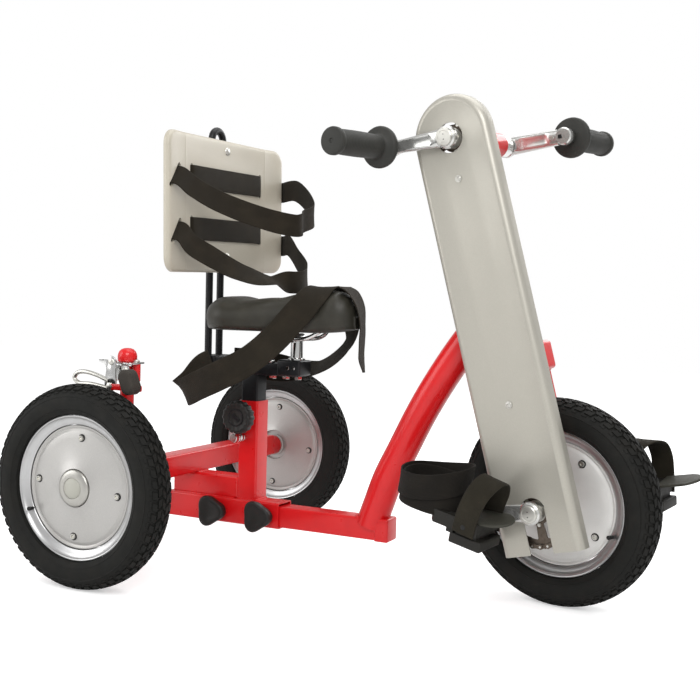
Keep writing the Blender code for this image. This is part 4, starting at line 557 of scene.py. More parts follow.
def square_tube(start, end, size, wall=0, corner=4.2):
    """A square tube with rounded edges, open when it has a wall."""
    run = (Vector(end) - Vector(start)).normalized()
    up = Vector(UP if abs(run.z) < 0.9 else (1, 0, 0))
    side = run.cross(up).normalized()
    up = side.cross(run)

    def ring(spot, inset):
        half = size / 2 - inset
        outline = oblong(half, half, -half, -half, max(corner - inset, 0.6))
        return [Vector(spot) + side * a + up * b for a, b in outline]

    rings = [ring(start, 0), ring(end, 0)]
    if wall:
        rings += [ring(end, wall), ring(start, wall)]
    return skin(rings, bool(wall))


def weld_bead(points, radius=2.2, closed=True):
    """A rippled bead along a seam."""
    route = [spot for spot, _ in spline(points, step=1.6, closed=closed)]
    rings = []
    for index, spot in enumerate(route):
        run = heading(route, index, closed)
        side = run.orthogonal().normalized()
        other = run.cross(side)
        reach = radius * (0.85 + 0.15 * math.sin(index * 1.9))
        rings.append([spot + side * a + other * b for a, b in circle(reach, 8)])
    return skin(rings, closed, match=True)


def weld_ring(radius, count, height, size, y=0):
    """A bead round an upright tube."""
    return weld_bead([(a, y + b, height) for a, b in circle(radius, count)], size)


# Places across a strap from one edge to the other, and its thickness there
SECTION = ((-1.0, 0.30), (-0.965, 0.85), (-0.90, 1.0), (-0.55, 0.96), (0.0, 1.0), (0.55, 0.96),
           (0.90, 1.0), (0.965, 0.85), (1.0, 0.30))


def band(points, leans, width, thickness, step, seed, curl=0.6, ruffle=1.0, closed=True, pointed=0):
    """Flat webbing on a smooth route, with woven-edge section, a little curl and slack ripples."""
    route = spline(points, leans, step, closed)
    spots = [spot for spot, _ in route]
    along = [0.0]
    for one, two in zip(spots, spots[1:]):
        along.append(along[-1] + (two - one).length)
    bm = bmesh.new()
    layer = bm.loops.layers.uv.new("UVMap")
    rings = []
    for index, (spot, lean) in enumerate(route):
        run = heading(spots, index, closed)
        across = (lean - lean.dot(run) * run).normalized()
        normal = run.cross(across)
        wave = ruffle * noise.noise(Vector((along[index] * 0.022, seed, 0)))
        half = width / 2
        if along[-1] - along[index] < pointed:
            half *= max(0.12, (along[-1] - along[index]) / pointed) ** 0.7
        top = []
        bottom = []
        for share, plump in SECTION:
            rise = curl * (share * share - 0.35) + wave * share
            base = spot + across * (share * half) + normal * rise
            top.append(bm.verts.new(base + normal * thickness / 2 * plump))
            bottom.append(bm.verts.new(base - normal * thickness / 2 * plump))
        rings.append(top + bottom[::-1])
    shares = [share for share, _ in SECTION]
    shares += shares[::-1]
    ends = along[1:] + [along[-1] + step]
    for one in range(len(rings) if closed else len(rings) - 1):
        two = (one + 1) % len(rings)
        for part in range(len(shares)):
            after = (part + 1) % len(shares)
            face = bm.faces.new((rings[one][part], rings[one][after], rings[two][after],
                                 rings[two][part]))
            places = ((along[one], part), (along[one], after), (ends[one], after), (ends[one], part))
            for corner, (distance, share) in zip(face.loops, places):
                corner[layer].uv = (distance * MM, shares[share] * width / 2 * MM)
    if not closed:
        bm.faces.new(rings[0])
        bm.faces.new(rings[-1])
    return bm


# Wheels

def crown(angle):
    """Radius and side offset on the tyre's section, from the middle of the tread to the bead."""
    height, side = polar(1, angle)
    return 131.3 + 25.2 * bulge(height, 0.85), 28.9 * bulge(side, 0.9)


def tyre_shape():
    """Carcass with side rings, and tread blocks in staggered rows."""
    half = []
    for angle in (0, 8, 16, 24, 32, 40, 48, 56, 64, 70, 72, 74, 80, 90, 100, 108, 110, 112, 120, 130):
        radius, side = crown(angle)
        ridge = angle in (72, 110)
        half.append((radius + 0.4 * ridge, side + 0.8 * ridge))
    half += [(RIM_RADIUS + 1.2, 19.2), (RIM_RADIUS + 0.4, 17.2)]
    carcass = spun(half + [(radius, -side) for radius, side in reversed(half[1:])], 96, closed=True)
    tread = bmesh.new()
    pitches = 58
    rows = ((1.2, 11.5, 0.30, 0.00, 2.7, 0.25), (13.5, 26.0, -0.20, 0.50, 2.6, 0.22),
            (28.5, 45.0, 0.16, 0.00, 2.4, 0.24), (47.5, 56.0, 0.0, 0.50, 1.1, 0.40))
    spots = [(row, side, pitch) for row in rows for side in (-1, 1) for pitch in range(pitches)]
    for (low, high, skew, stagger, height, gap), side, pitch in spots:
        start = (pitch + stagger + 0.25 * side) / pitches
        middle = (low + high) / 2
        corners = []
        for lift, shrink in ((-0.6, 0.0), (height, 0.07)):
            for share, angle in ((0, low), (0, high), (1, high), (1, low)):
                inset = -shrink if share else shrink
                lean = skew * (angle - low) / (high - low)
                turn = start + (share * (1 - gap) + inset + lean) / pitches
                bend = middle + (angle - middle) * (1 - shrink * 0.8)
                radius, offset = crown(bend)
                outward, aside = polar(lift, bend)
                x, z = polar(radius + outward, 360 * turn)
                corners.append(tread.verts.new((x, side * (offset + aside), z)))
        for face in ((4, 5, 6, 7), (0, 1, 5, 4), (1, 2, 6, 5), (2, 3, 7, 6), (3, 0, 4, 7)):
            tread.faces.new([corners[k] for k in face])
    return merge(carcass, tread)


def mirrored(half):
    """A profile followed by its reflection, their meeting point counted once."""
    return half + [(radius, -height) for radius, height in reversed(half[:-1])]


def rim_shape():
    """Rolled lips, the sloping flange and the well."""
    half = [(RIM_RADIUS - inset, y) for inset, y in (
        (3.6, 16.6), (3.0, 17.6), (1.6, 18.1), (0.2, 17.6), (0, 16.4), (1.0, 15.0), (2.0, 14.0))]
    half += [(100, 9), (99.2, 0)]
    inner = [(96.9, 0), (96.9, 9.6), (98, 10.8), (103, 12.2), (107, 14)]
    return spun(mirrored(half) + [(r, -y) for r, y in reversed(inner)] + inner[1:], 96, closed=True)


def disc_shape(hub_half, bore, swell):
    """Pressed disc with a rolled edge, a shallow dish and a hub."""
    half = [(bore, hub_half), (19.5, hub_half), (21.3, hub_half - 1.5), (21.3, hub_half - 6.4),
            (28.3, hub_half - 6.7), (29.8, 12.8 + swell), (33, 12.4 + swell * 0.84),
            (45, 12 + swell * 0.46),
            (60, 11.5 + swell * 0.18), (74, 10.8), (84.5, 9.8), (87, 9), (89, 7.6), (90.5, 7), (92, 7.8),
            (93.6, 9.1), (95, 9), (95.8, 7.8), (95.8, 0)]
    return spun(mirrored(half), 96, closed=True)


def wheel(name, centre, hub_half, bore, swell, bolt_start, valve, look="disc"):
    dress(name + "_tyre", tyre_shape(), name, "tyre", centre, sharp=30)
    dress(name + "_rim", rim_shape(), name, "rim", centre)
    dress(name + "_disc", disc_shape(hub_half, bore, swell), name, look, centre, sharp=32)
    bolts = []
    recess_shades = []
    for index in range(4):
        x, z = polar(77, bolt_start + 90 * index)
        for side in (-1, 1):
            seat = side * 10.2
            # Thin black discs laid under each bolt head: painted shade for the bolt recesses.
            recess_shades.append(spun([(0, 0), (6.1, 0), (6.1, 0.9), (5.6, 1.1), (0, 0.7)], 28, (x, seat, z),
                                 (0, side, 0)))
            bolts.append(hexagon((x, seat + side * 0.6, z), (x, seat + side * 4, z), 8.8, 2.4))
    piece(name + "_disc_bolts", merge(*bolts), name, "zinc", centre)
    piece(name + "_bolt_recess_shades", merge(*recess_shades), name, "plastic", centre, "steel")
    x, z = polar(101, valve)
    stem = [(0, 0), (3.6, 0), (3.6, 3), (2.8, 5), (2.6, 12.5), (3.2, 13), (3.2, 18.5),
            (2, 19.5), (0, 19.5)]
    piece(name + "_valve", spun(stem, 20, (x, -4.2, z), (-0.035 * x, -16, -0.035 * z)), name, "plastic",
          centre, "tyre_rubber")


HUB_RING = [(16.3, 22.8), (16.6, 23.7), (17.5, 24), (26.2, 22.2), (28, 21.1), (28.8, 19.7), (28.8, 14.5),
            (22.1, 14.5), (22.1, 19.8), (16.3, 21.8)]
HUB_DOME = [(0, 28), (5, 27.8), (10, 26.8), (14, 25.2), (16, 23.8), (16.3, 23), (0, 23)]
for hand, side in SIDES:
    centre = MACHINE @ move(0, side * HALF_TRACK, AXLE)
    wheel(hand + "_wheel", centre, 19.8, 6.6, 5.8, -5, 205)
    piece(hand + "_hub_ring", spun(HUB_RING, 64, along=(0, side, 0), closed=True), hand + "_wheel",
          "hub", centre, replaces=(hand + "_hub_cap",))
    piece(hand + "_hub_dome", spun(HUB_DOME, 64, along=(0, side, 0)), hand + "_wheel", "ivory", centre)
# The front disc takes the lighter copy of the disc paint. Its extra brightness is painted light against
# the cover's shade.
wheel("front_wheel", STEER @ spin("Y", -HEAD_LEAN), 34.3, 9.1, 0, 27, -52, "front_disc")


# Rear frame

def build_frame():
    half = TUBE / 2
    rail = CROSS_Z - TUBE
    shapes = [square_tube((-42, 0, SLEEVE_Z), (189, 0, SLEEVE_Z), SLEEVE, 1.9),
              square_tube((-30, 0, rail), (104.5, 0, rail), TUBE),
              square_tube((0, -248, CROSS_Z), (0, 248, CROSS_Z), TUBE),
              square_tube((SEAT_X, 0, RAIL_BOTTOM), (SEAT_X, 0, 278), TUBE, 2.7),
              rod((POST_X, POST_Y, CROSS_Z - 12), (POST_X, POST_Y, 356), 11, 40, 1)]
    seam = oblong(half, half, -half, -half, 4, 2)
    face_seam = oblong(half - 1, half - 1, 1 - half, 1 - half, 4, 2)
    beads = [weld_bead([(SEAT_X + x, y, RAIL_BOTTOM + 0.4) for x, y in seam]),
             weld_bead([(SEAT_X - half, y, rail + z) for y, z in face_seam]),
             weld_bead([(half, 4 - half, CROSS_Z - half), (half, half - 4, CROSS_Z - half)],
                       closed=False)]
    ring = [(POST_X + x, POST_Y + y, CROSS_Z + half) for x, y in circle(11.2, 12)
            if POST_X + x < half - 1]
    beads.append(weld_bead(ring, 1.8, False))
    for hand, side in SIDES:
        boss = HALF_TRACK - 21.2 - 244
        shapes.append(spun([(0, 0), (19, 0), (19, boss - 1), (18, boss), (6.7, boss)], 40,
                           (0, side * 244, AXLE), (0, side, 0)))
        y = side * half
        beads.append(weld_bead([(4 - half, y, CROSS_Z - half), (half - 4, y, CROSS_Z - half)],
                               closed=False))
        beads.append(weld_bead([(-26, y, RAIL_BOTTOM), (98, y, RAIL_BOTTOM)], 2, False))
        ring = [(x, side * 248.2, AXLE + z) for x, z in circle(19.2, 16)
                if abs(AXLE + z - CROSS_Z) < half]
        beads.append(weld_bead(ring, 1.6, False))
    dress("rear_frame", merge(*shapes), "frame", "red")
    piece("rear_frame_welds", merge(*beads), "frame", "red")
    for hand, side in SIDES:
        washer = spun([(8.6, 0), (17.5, 0), (17.5, 1), (8.6, 1)], 40,
                      (0, side * (HALF_TRACK - 21.1), AXLE),
                      (0, side, 0), True)
        piece("axle_washer_" + hand, washer, "frame", "zinc")
        NODES[hand + "_axle"].data.materials.clear()
        NODES[hand + "_axle"].data.materials.append(FINISHES["zinc"][1].material)


build_frame()


# Boom and head

def build_boom():
    beam = square_tube((-34, 0, BEAM_Z), (391, 0, BEAM_Z), 35.8, corner=4)
    knots = [(354, 0, BEAM_Z + 4), (367, 0, 122), (384, 0, 168), (409, 0, 218), (439, 0, 278),
             (471, 0, 333), (513, 0, 395), (553, 0, 443), (582.5, 0, 472)]
    dress("front_boom", merge(beam, tube(knots, 25.4, 48)), "front_frame", "red")
    flat = 17
    seam = [(356.2 + 26.2 * x, max(-flat, min(flat, 25.6 * y)),
             BEAM_Z + 18.1 - max(0, abs(25.6 * y) - flat) * 0.9)
            for x, y in circle(1, 20)]
    piece("boom_weld", weld_bead(seam), "front_frame", "red")
    piece("beam_end_plate", block((368, -19.2, BEAM_Z - 19.2), (392.5, 19.2, BEAM_Z + 19.2)),
          "front_frame", "red", bevel=3)
    head = [(17.6, 267.2), (25.5, 267), (26.5, 268), (26.5, 276), (25.2, 277), (25, 373), (26.5, 374),
            (26.5, 382.2), (25.5, 383), (17.6, 382.8)]
    piece("head_tube", spun(head, 64, along=UP, closed=True), "front_frame", "red", HEAD)
    tall = 9.5
    cup = [(14.9, 0), (22.8, 0), (24, 1), (24.2, 3), (25, 3.4), (25, 8.5), (24, tall), (14.9, tall)]
    for name, low, rows in (("lower", 257.2, cup), ("upper", 383.3, [(r, tall - y) for r, y in cup])):
        dress(name + "_headset_cup", spun(rows, 64, (0, 0, low), UP, True), "front_frame",
              "chrome", HEAD)


build_boom()


# Fork and column

def build_steering():
    piece("fork_crown", block((-18, -60, 200), (18, 60, 246)), "steering", "red", STEER,
          replaces=("fork",), bevel=6, segments=5)
    legs = [rod((0, 0, 244), (0, 0, 394.5), 14.3, 40)]
    beads = [weld_ring(14.8, 16, 246.2, 1.8)]
    dropout = [(9.3, 0), (18, 0), (19.5, 1.5), (19.5, 20.5), (18, 22), (9.3, 22)]
    for y in (-47, 47):
        legs.append(rod((0, y, 12), (0, y, 202), 10.5, 36))
        legs.append(spun(dropout, 56, (0, y - 11, 0), closed=True))
        beads.append(weld_ring(10.8, 12, 200.2, 1.8, y))
    piece("fork_legs", merge(*legs), "steering", "red", STEER)
    piece("fork_welds", merge(*beads), "steering", "red", STEER)
    low = 393.6
    spindle = (0, 0, HAND_HEIGHT)
    column = spun([(14.8, low), (17.8, low), (18.5, low + 0.8), (18.5, 556), (14.8, 556)], 56,
                  along=UP, closed=True)
    shell = spun([(9.3, -60), (18.8, -60), (19.5, -59), (19.5, 62), (18.8, 63), (9.3, 63)], 56,
                 spindle, closed=True)
    end_ring = [(9.3, 63), (16.6, 63), (17.2, 63.6), (17.2, 83.5), (16.6, 84.1), (9.3, 84.1)]
    piece("spindle_end_ring", spun(end_ring, 48, spindle, closed=True), "steering", "chrome", STEER)
    dress("hand_column", merge(column, shell), "steering", "red", STEER)
    seam = [(x, y, HAND_HEIGHT - math.sqrt(19.7 ** 2 - x * x)) for x, y in circle(18.7, 24)]
    piece("column_weld", weld_bead(seam, 1.9), "steering", "red", STEER)
    collar = [(18.7, 0), (21.5, 0), (22.2, 0.8), (22.2, 15), (21.5, 15.8), (18.7, 15.8)]
    piece("column_collar", spun(collar, 56, (0, 0, low + 1), UP, True), "steering", "black",
          STEER, "red_paint")


build_steering()


def cover_shell(rows, bottom):
    """Outlines of the cover, each with its half width and its Y place."""
    return stacked([(arc(0, HAND_HEIGHT, half, 0, 180, 40) + [(-half, bottom), (half, bottom)], y)
                    for half, y in rows])


def rolled_rows(wall, reach):
    """Half widths and Y places of the pressed cover, from its face round the rolled edge to its rim."""
    outer = 65.5 - wall
    radius = 11 - wall
    curve = [polar(radius, 90 * step / 8) for step in range(9)]
    return [(outer - radius + out, COVER_FACE + wall + radius - back) for back,
            out in curve] + [(outer, reach)]


def build_cover():
    """Pressed cover: flat face with a wide rolled edge, a side wall, and an open slot at the foot."""
    face = COVER_FACE
    reach = face + 22
    shell = cover_shell([(53.3, face + 0.4), (54.1, face + 0.1)] + rolled_rows(0, reach), -90)
    slot = [(19, -100), (19, 4)] + arc(0, 0, 21.2, 22, 158, 24) + [(-19, 4), (-19, -100)]
    cuts = [cover_shell(rolled_rows(2.2, reach + 20), -140), prism(slot, face - 10, face + 12),
            rod((0, face - 10, HAND_HEIGHT), (0, face + 12, HAND_HEIGHT), 22.5, 64),
            block((-200, face - 50, -200), (200, face + 50, -62))]
    dress("chain_cover", shell, "steering", "cover", STEER, cuts=cuts, sharp=30)
    for name, height, inner in (("cover_screw_1", 160, -57.7), ("cover_screw_2", 503.5, -18.7)):
        washer = spun([(0, 0), (5.4, 0), (5.4, 0.6), (0, 0.6)], 28, (0, face - 0.1, height), (0, -1, 0))
        head = hexagon((0, face - 0.5, height), (0, face - 1.9, height), 7.8, 2)
        spacer = rod((0, inner, height), (0, face + 2.6, height), 3.9, 24)
        dress(name, merge(washer, head, spacer), "steering", "zinc", STEER)


build_cover()


# Chain and sprockets

def link_plate(x0, z0, x1, z1, y):
    """One figure-of-eight side plate from pin to pin."""
    half = 4.1
    waist = 2.7
    run = Vector((x1 - x0, z1 - z0))
    length = run.length
    along = run / length
    outline = arc(0, 0, half, 60, 300, 6) + [(length / 2, -waist)]
    outline += arc(length, 0, half, -120, 120, 6) + [(length / 2, waist)]
    points = [(x0 + along.x * a - along.y * b, z0 + along.y * a + along.x * b) for a, b in outline]
    return prism(points, y - 0.7, y + 0.7)


def build_chain():
    run = HAND_HEIGHT
    around = math.pi * PITCH_RADIUS
    total = 2 * run + 2 * around
    links = 2 * round(total / CHAIN_PITCH / 2)

    def spot(distance):
        distance %= total
        if distance < run:
            return PITCH_RADIUS, distance
        distance -= run
        if distance < around:
            x, z = polar(PITCH_RADIUS, math.degrees(distance / PITCH_RADIUS))
            return x, run + z
        distance -= around
        if distance < run:
            return -PITCH_RADIUS, run - distance
        return polar(PITCH_RADIUS, 180 + math.degrees((distance - run) / PITCH_RADIUS))

    plates = []
    rollers = []
    for link in range(links):
        x0, z0 = spot(total * link / links)
        x1, z1 = spot(total * (link + 1) / links)
        offset = 2.8 if link % 2 else 4.4
        plates += [link_plate(x0, z0, x1, z1, CHAIN_PLANE + side * offset) for side in (-1, 1)]
        for half, radius, sides in ((2.2, 3.7, 12), (5.8, 1.7, 8)):
            rollers.append(rod((x0, CHAIN_PLANE - half, z0), (x0, CHAIN_PLANE + half, z0),
                               radius, sides))
    piece("chain_plates", merge(*plates), "steering", "chain", STEER, replaces=("chain",))
    piece("chain_rollers", merge(*rollers), "steering", "zinc", STEER, "chain_steel")


# One tooth and the hollow before it: share of the pitch, and height over the pitch circle
TOOTH = ((-0.20, -3.2), (-0.10, -3.9), (0.10, -3.9), (0.20, -3.2), (0.30, -0.5), (0.42, 3.2),
         (0.47, 3.8), (0.53, 3.8), (0.58, 3.2), (0.70, -0.5))


def build_sprocket(name, body, place):
    """Toothed ring with arms, bolts and a hub."""
    points = [polar(PITCH_RADIUS + height, 360 * (tooth + share) / TEETH) for tooth in range(TEETH)
              for share, height in TOOTH]
    cuts = []
    bolts = []
    for index in range(5):
        angle = 18 + 72 * index
        outline = arc(0, 0, 20.5, angle - 20, angle + 20, 6) + arc(0, 0, 43, angle + 26, angle - 26, 6)
        cuts.append(prism(fillet(outline, 3, 2), CHAIN_PLANE - 10, CHAIN_PLANE + 10))
        x, z = polar(20.7, angle + 36)
        bolts.append(hexagon((x, CHAIN_PLANE - 1, z), (x, CHAIN_PLANE - 4, z), 5.5))
    dress(name, prism(points, CHAIN_PLANE - 1.3, CHAIN_PLANE + 1.3), body, "chain", place, cuts=cuts)
    hub = spun([(0, 0), (15, 0), (16, 1), (16, 9), (15, 10), (0, 10)], 40, (0, CHAIN_PLANE - 4.5, 0))
    spindle = rod((0, -94, 0), (0, 94, 0), 8.5)
    piece(name + "_hub", merge(hub, spindle, *bolts), body, "zinc", place, "chain_steel")


build_chain()
build_sprocket("foot_sprocket", "front_wheel", STEER)
build_sprocket("hand_sprocket", "hand_cranks", HANDS)


# Cranks and grips

def drum(radius, low, high, edge):
    return [(0, low), (radius - edge, low), (radius, low + edge), (radius, high - edge),
            (radius - edge, high), (0, high)]


def build_crank(name, place, side, length, angle, body, pin_end, pin_radius):
    """Tapered forged arm with its hub, the two-hole cap, and the eye that holds the pin."""
    inner = 86.8
    outer = 98.5
    turn = place @ spin("Y", -angle)
    broad = name == "left_hand_crank"
    sections = 22
    start = 6
    rings = []
    for step in range(sections + 1):
        share = step / sections
        x = start + (length - 10 - start) * share
        tall = 14.2 * (1 - share) ** 1.3 + 9.8 * (1 - (1 - share) ** 1.3)
        if broad:
            tall = 14.6 - 2 * share
        elif share > 0.85:
            tall += 3 * ((share - 0.85) / 0.15) ** 2
        ring = []
        for across, up in circle(1, 20):
            z = tall * bulge(up, 0.75)
            y = (outer - inner) / 2 * bulge(across, 0.60)
            if abs(z) < tall * 0.5 and 0.22 < share < 0.80:
                y *= 0.72
            ring.append((x, side * (inner + outer) / 2 + y, z))
        rings.append(ring)
    along = (0, side, 0)
    pin_place = (length, 0, 0)
    arm = merge(skin(rings), spun(drum(17, inner, outer, 2.2), 48, along=along),
                spun(drum(13.8, inner, outer, 2), 40, pin_place, along),
                spun(drum(pin_radius, outer - 2, pin_end, 0.6), 24, pin_place, along))
    dress(name, arm, body, "arm", turn)
    cap = [(r, outer + y) for r, y in ((0, 2.6), (8.8, 2.6), (9.4, 3.4), (12.4, 3.4), (13.5, 2.4),
                                       (13.5, -1), (0, -1))]
    piece(name + "_cap", spun(cap, 48, along=along), body, "zinc", turn, "chrome")
    # Two black dots on the cap face: painted shade standing for its two pin holes.
    hole_shades = [rod((0, side * (outer + 2), z), (0, side * (outer + 2.8), z), 0.9, 12) for z in (-3.8, 3.8)]
    piece(name + "_cap_hole_shade_dots", merge(*hole_shades), body, "plastic", turn, "chrome")
    if broad:
        # A black patch at the pin end of the inner face: painted shade standing for the socket opening.
        socket = oblong(length - 8, -3, length - 1.8, 3, 0.6, 2)
        piece(name + "_socket", prism(socket, side * (inner - 0.4), side * (inner + 1)), body, "plastic",
              turn, "chrome")
        plug = rod((length - 19, side * inner, 0), (length - 19, side * (inner - 1), 0), 3.4, 24)
        piece(name + "_plug", plug, body, "zinc", turn, "chrome")
        return
    nut = hexagon((length, side * inner, 0), (length, side * (inner - 2.2), 0), 14, 4)
    piece(name + "_nut", nut, body, "zinc", turn, "chrome")


def build_grip(name, place, side):
    """Moulded grip with a guard flange, fine rings and an end disc."""
    profile = [(5.6, 100.3), (9.5, 100.3), (10.5, 101), (10.5, 114), (29, 114.5), (31.2, 115.8),
               (32, 119), (32, 121.5), (30.8, 124.3), (28, 125.6), (21.5, 127.5), (18.8, 130.5)]
    rings = 28
    for ring in range(rings):
        y = 132.5 + ring * 3.4
        swell = 0.8 * math.sin(math.pi * ring / (rings - 1))
        profile += [(17.9 + swell, y), (18.3 + swell, y + 1), (18.3 + swell, y + 2.2)]
    profile += [(18.1, 227.5), (18.6, 229), (20.2, 230), (20.6, 231.5), (20.6, 236.5), (19.8, 238.7),
                (18, 239.4), (4, 239.4), (3.2, 238.1), (0, 237.9)]
    dress(name, spun(profile, 56, along=(0, side, 0)), name, "grip", place, sharp=50)


for hand, side in SIDES:
    phase = CRANK_PHASE if side < 0 else CRANK_PHASE - 180
    build_crank(hand + "_foot_crank", STEER, side, FOOT_ARM, phase, "front_wheel", 163.5, 5.5)
    build_crank(hand + "_hand_crank", HANDS, side, HAND_ARM, phase, "hand_cranks", 227.5, 5)
    x, z = polar(HAND_ARM, phase)
    build_grip(hand + "_grip", HANDS @ move(x, 0, z), side)


# Pedals and foot holders

def strap_ring(middle, start, end, half, rise):
    """A closed ring of webbing round the foot, its height given along its length."""
    route = []
    for ahead, out in circle(1, 40):
        share = 0.5 + 0.5 * bulge(ahead, 0.85)
        out = bulge(out, 0.85)
        route.append((start + (end - start) * share, middle + half * out, rise(share) + 3.5 * out))
    return route


def build_pedal(hand, side, place, back, lift, toe_route, toe_leans):
    body = hand + "_pedal"
    low, high = sorted((side * 107.5, side * 167.5))
    middle = side * 137.5
    front = 54 + back
    base = block((front - 53, low, -31), (front, high, -15))
    piece(body + "_block", base, body, "sole", place, replaces=(body,), bevel=2.6)
    web = block((-5.7, low + 1, -16.8), (5.7, high - 1, 0))
    spacer = block((front - 44, low + 3, -15.6), (front - 10, high - 3, -9))
    bearing = spun([(0, 57.5), (6.1, 57.5), (6.1, 0), (8, 0), (9.2, 1), (9.2, 59.2), (0, 59.2)], 32,
                   (0, side * 107.5, 0), (0, side, 0))
    ribs = [block((front - 50 + 9.2 * k, low + 4, -31.8), (front - 46 + 9.2 * k, high - 4, -30.6))
            for k in range(5)]
    piece(body + "_tube", merge(web, spacer, bearing, *ribs), body, "sole", place)
    half = 32.5
    heel = back - 36
    ball = back + 46
    sole = [(heel, middle - half + 10), (heel + 8, middle - half), (ball, middle - half),
            (ball, middle + half),
            (heel + 8, middle + half), (heel, middle + half - 10)]
    start, end = sorted((side * 90, side * 166.9))
    keyhole = arc(0, 0, 9.5, -45, 225, 18) + [(-6.3, -7.04), (-6.3, -30), (6.3, -30), (6.3, -7.04)]
    dress(hand + "_foot_plate", flat_prism(sole, -9.5, 10.2), body, "sole", place,
          cuts=[prism(keyhole, start, end)])
    tongue = flat_prism([(0, -28), (34, -28)] + arc(36, 0, 28, -80, 80, 16) + [(34, 28), (0, 28)], 0, 4)
    tongue.transform(move(20, middle, 8) @ spin("Y", -9) @ spin("X", 7))
    piece(hand + "_sole_tongue", tongue, body, "tongue", place, bevel=1.4)
    tread = [block((12 * k - 32, middle - 26, 9.5), (12 * k - 28.5, middle + 26, 10.8))
             for k in range(4)]
    piece(hand + "_foot_tread", merge(*tread), body, "sole", place, bevel=0.5, segments=1)
    ring = strap_ring(middle, back - 104, back, 33.8, lambda share: 23.5 + 3 * share)
    item = dress(hand + "_heel_band", band(ring, None, 45, 2.4, 4, 3 * side, 0.8), body, "foot_belt",
                 place, sharp=60)
    ring = strap_ring(middle, back - 108, back + 2, 36.8, lambda share: 31 + lift * share ** 1.8)
    lap_item = piece(hand + "_heel_overlap", band(ring, None, 37, 2.2, 4, 7 * side, ruffle=1.2), body,
                     "foot_belt", place, sharp=60)
    toe = band([(x, side * y, z) for x, y, z in toe_route], toe_leans, 36, 2.4, 4,
               5 + side, closed=False)
    item = dress(hand + "_toe_strap", toe, body, "toe_belt", place, sharp=60)
    rivets = []
    for x, y, _ in (toe_route[0], toe_route[-1]):
        turn = 1 if y > 137.5 else -1
        rivets.append(spun([(0, 0), (4.2, 0), (3.8, 1), (2, 1.6), (0, 1.7)], 20,
                           (x, side * (y + turn), 0),
                           (0, side * turn, 0)))
    piece(hand + "_strap_rivets", merge(*rivets), body, "plastic", place)


RIGHT_TOE = ((24, 170.5, -11), (26, 171.5, 12), (31, 171.5, 36), (37, 169, 56), (43, 160, 70),
             (47, 147.5, 75.5),
             (48, 135, 71), (45, 125, 56), (39, 119, 36), (33, 112, 12), (30, 104.5, -11))
LEFT_TOE = ((-22, 104.5, -11), (-24, 103.5, 12), (-25, 104, 36), (-22, 108, 56), (-12, 120, 70),
            (0, 137.5, 74.5), (6, 156, 68), (9, 169, 48), (10, 171.5, 24), (10, 170.5, -11))
for hand, side, phase, pitch, back, lift, route, dip in (
        ("right", -1, CRANK_PHASE, -11, 0, 28, RIGHT_TOE, -0.30),
        ("left", 1, CRANK_PHASE - 180, 3, -21, 4, LEFT_TOE, 0.0)):
    x, z = polar(FOOT_ARM, phase)
    build_pedal(hand, side, STEER @ move(x, 0, z) @ spin("Y", HEAD_LEAN - pitch), back, lift, route,
                [(1, 0, dip * math.sin(math.pi * min(1.0, k / 6))) for k in range(len(route))])


# Seat, clamp and saddle

def flat_head(profile, x, y, z, steps=24):
    """A low head on a face that looks to the right."""
    return spun(profile, steps, (x, y, z), (0, -1, 0))


def build_seat():
    mast = square_tube((SEAT_X, 0, 150), (SEAT_X, 0, 340), 32, corner=3.2)
    dress("seat_mast", merge(mast, block((50, -19, 324), (221, 19, 345))), "seat", "black", bevel=2.6)
    piece("seat_bar_collar", block((179, -21, 325.2), (224, 21, 352)), "seat", "black",
          bevel=3.6, segments=4)
    holes = [rod((36.5, y, 300), (36.5, y, 400), 6.9, 24) for y in (-17, 17)]
    piece("hoop_block", block((22.5, -31, 322.5), (60, 31, 353.8)), "seat", "black",
          cuts=holes, bevel=3.5)
    bolts = [hexagon((x, 0, 324.8), (x, 0, 318.2), 11.6) for x in (160, 186, 210)]
    bolts += [hexagon((x, 0, 344.5), (x, 0, 350.8), 10.8) for x in (90, 157)]
    bolts += [flat_head([(0, 0), (3.4, 0), (3, 0.6), (0, 0.8)], x, -20.9, 338.5, 20)
              for x in (200, 211.5)]
    bolts.append(flat_head([(0, 0), (5.2, 0), (4.6, 0.8), (0, 1)], 41, -30.8, 338))
    piece("seat_bolts", merge(*bolts), "seat", "chrome", slot="steel")
    x = 206
    foot = 352.3
    top = 389.5
    post = [rod((x, 0, foot), (x, 0, top), 10.5, 40), rod((x, -18, top), (x, 18, top), 8, 32, 1.2),
            spun([(0, 0), (14.5, 0), (14.5, 2), (11.2, 3.4), (0, 3.4)], 40, (x, 0, foot), UP)]
    post += [hexagon((x, side * 17.8, top), (x, side * 18.2, top), 11) for side in (-1, 1)]
    dress("saddle_post", merge(*post), "seat", "chrome")
    knots = [(150, 33, 404), (164, 26, 396), (180, 22.5, 389.5), (232, 22.5, 389.5), (247, 20, 395),
             (258, 12, 403), (262, 0, 406)]
    knots += [(x, -y, z) for x, y, z in reversed(knots[:-1])]
    dress("saddle_rails", tube(knots, 3.5, 20, 5), "seat", "chrome")


def saddle_half(share):
    """Half width of the saddle from its rear to its nose."""
    ease = share * share * (3 - 2 * share)
    end = math.sqrt(max(0.0, 1 - max(0.0, (share - 0.86) / 0.14) ** 2))
    back = math.sqrt(max(0.0, 1 - max(0.0, (0.20 - share) / 0.20) ** 2 * 0.55))
    return max(12, (85 - 49 * min(1.0, ease * 1.15)) * end * back)


def saddle_top(share):
    """Height of the saddle's ridge."""
    knots = ((0.000, 0.198), (0.060, 0.222), (0.130, 0.226), (0.240, 0.208), (0.440, 0.222),
             (0.600, 0.250), (0.770, 0.284), (0.875, 0.268), (0.943, 0.236), (0.977, 0.186),
             (1.000, 0.110))
    for (x0, z0), (x1, z1) in zip(knots, knots[1:]):
        if share <= x1 + 1e-9:
            part = (share - x0) / (x1 - x0)
            return SADDLE_LOW + SADDLE_LENGTH * (z0 + (z1 - z0) * part * part * (3 - 2 * part))
    return SADDLE_LOW + SADDLE_LENGTH * knots[-1][1]


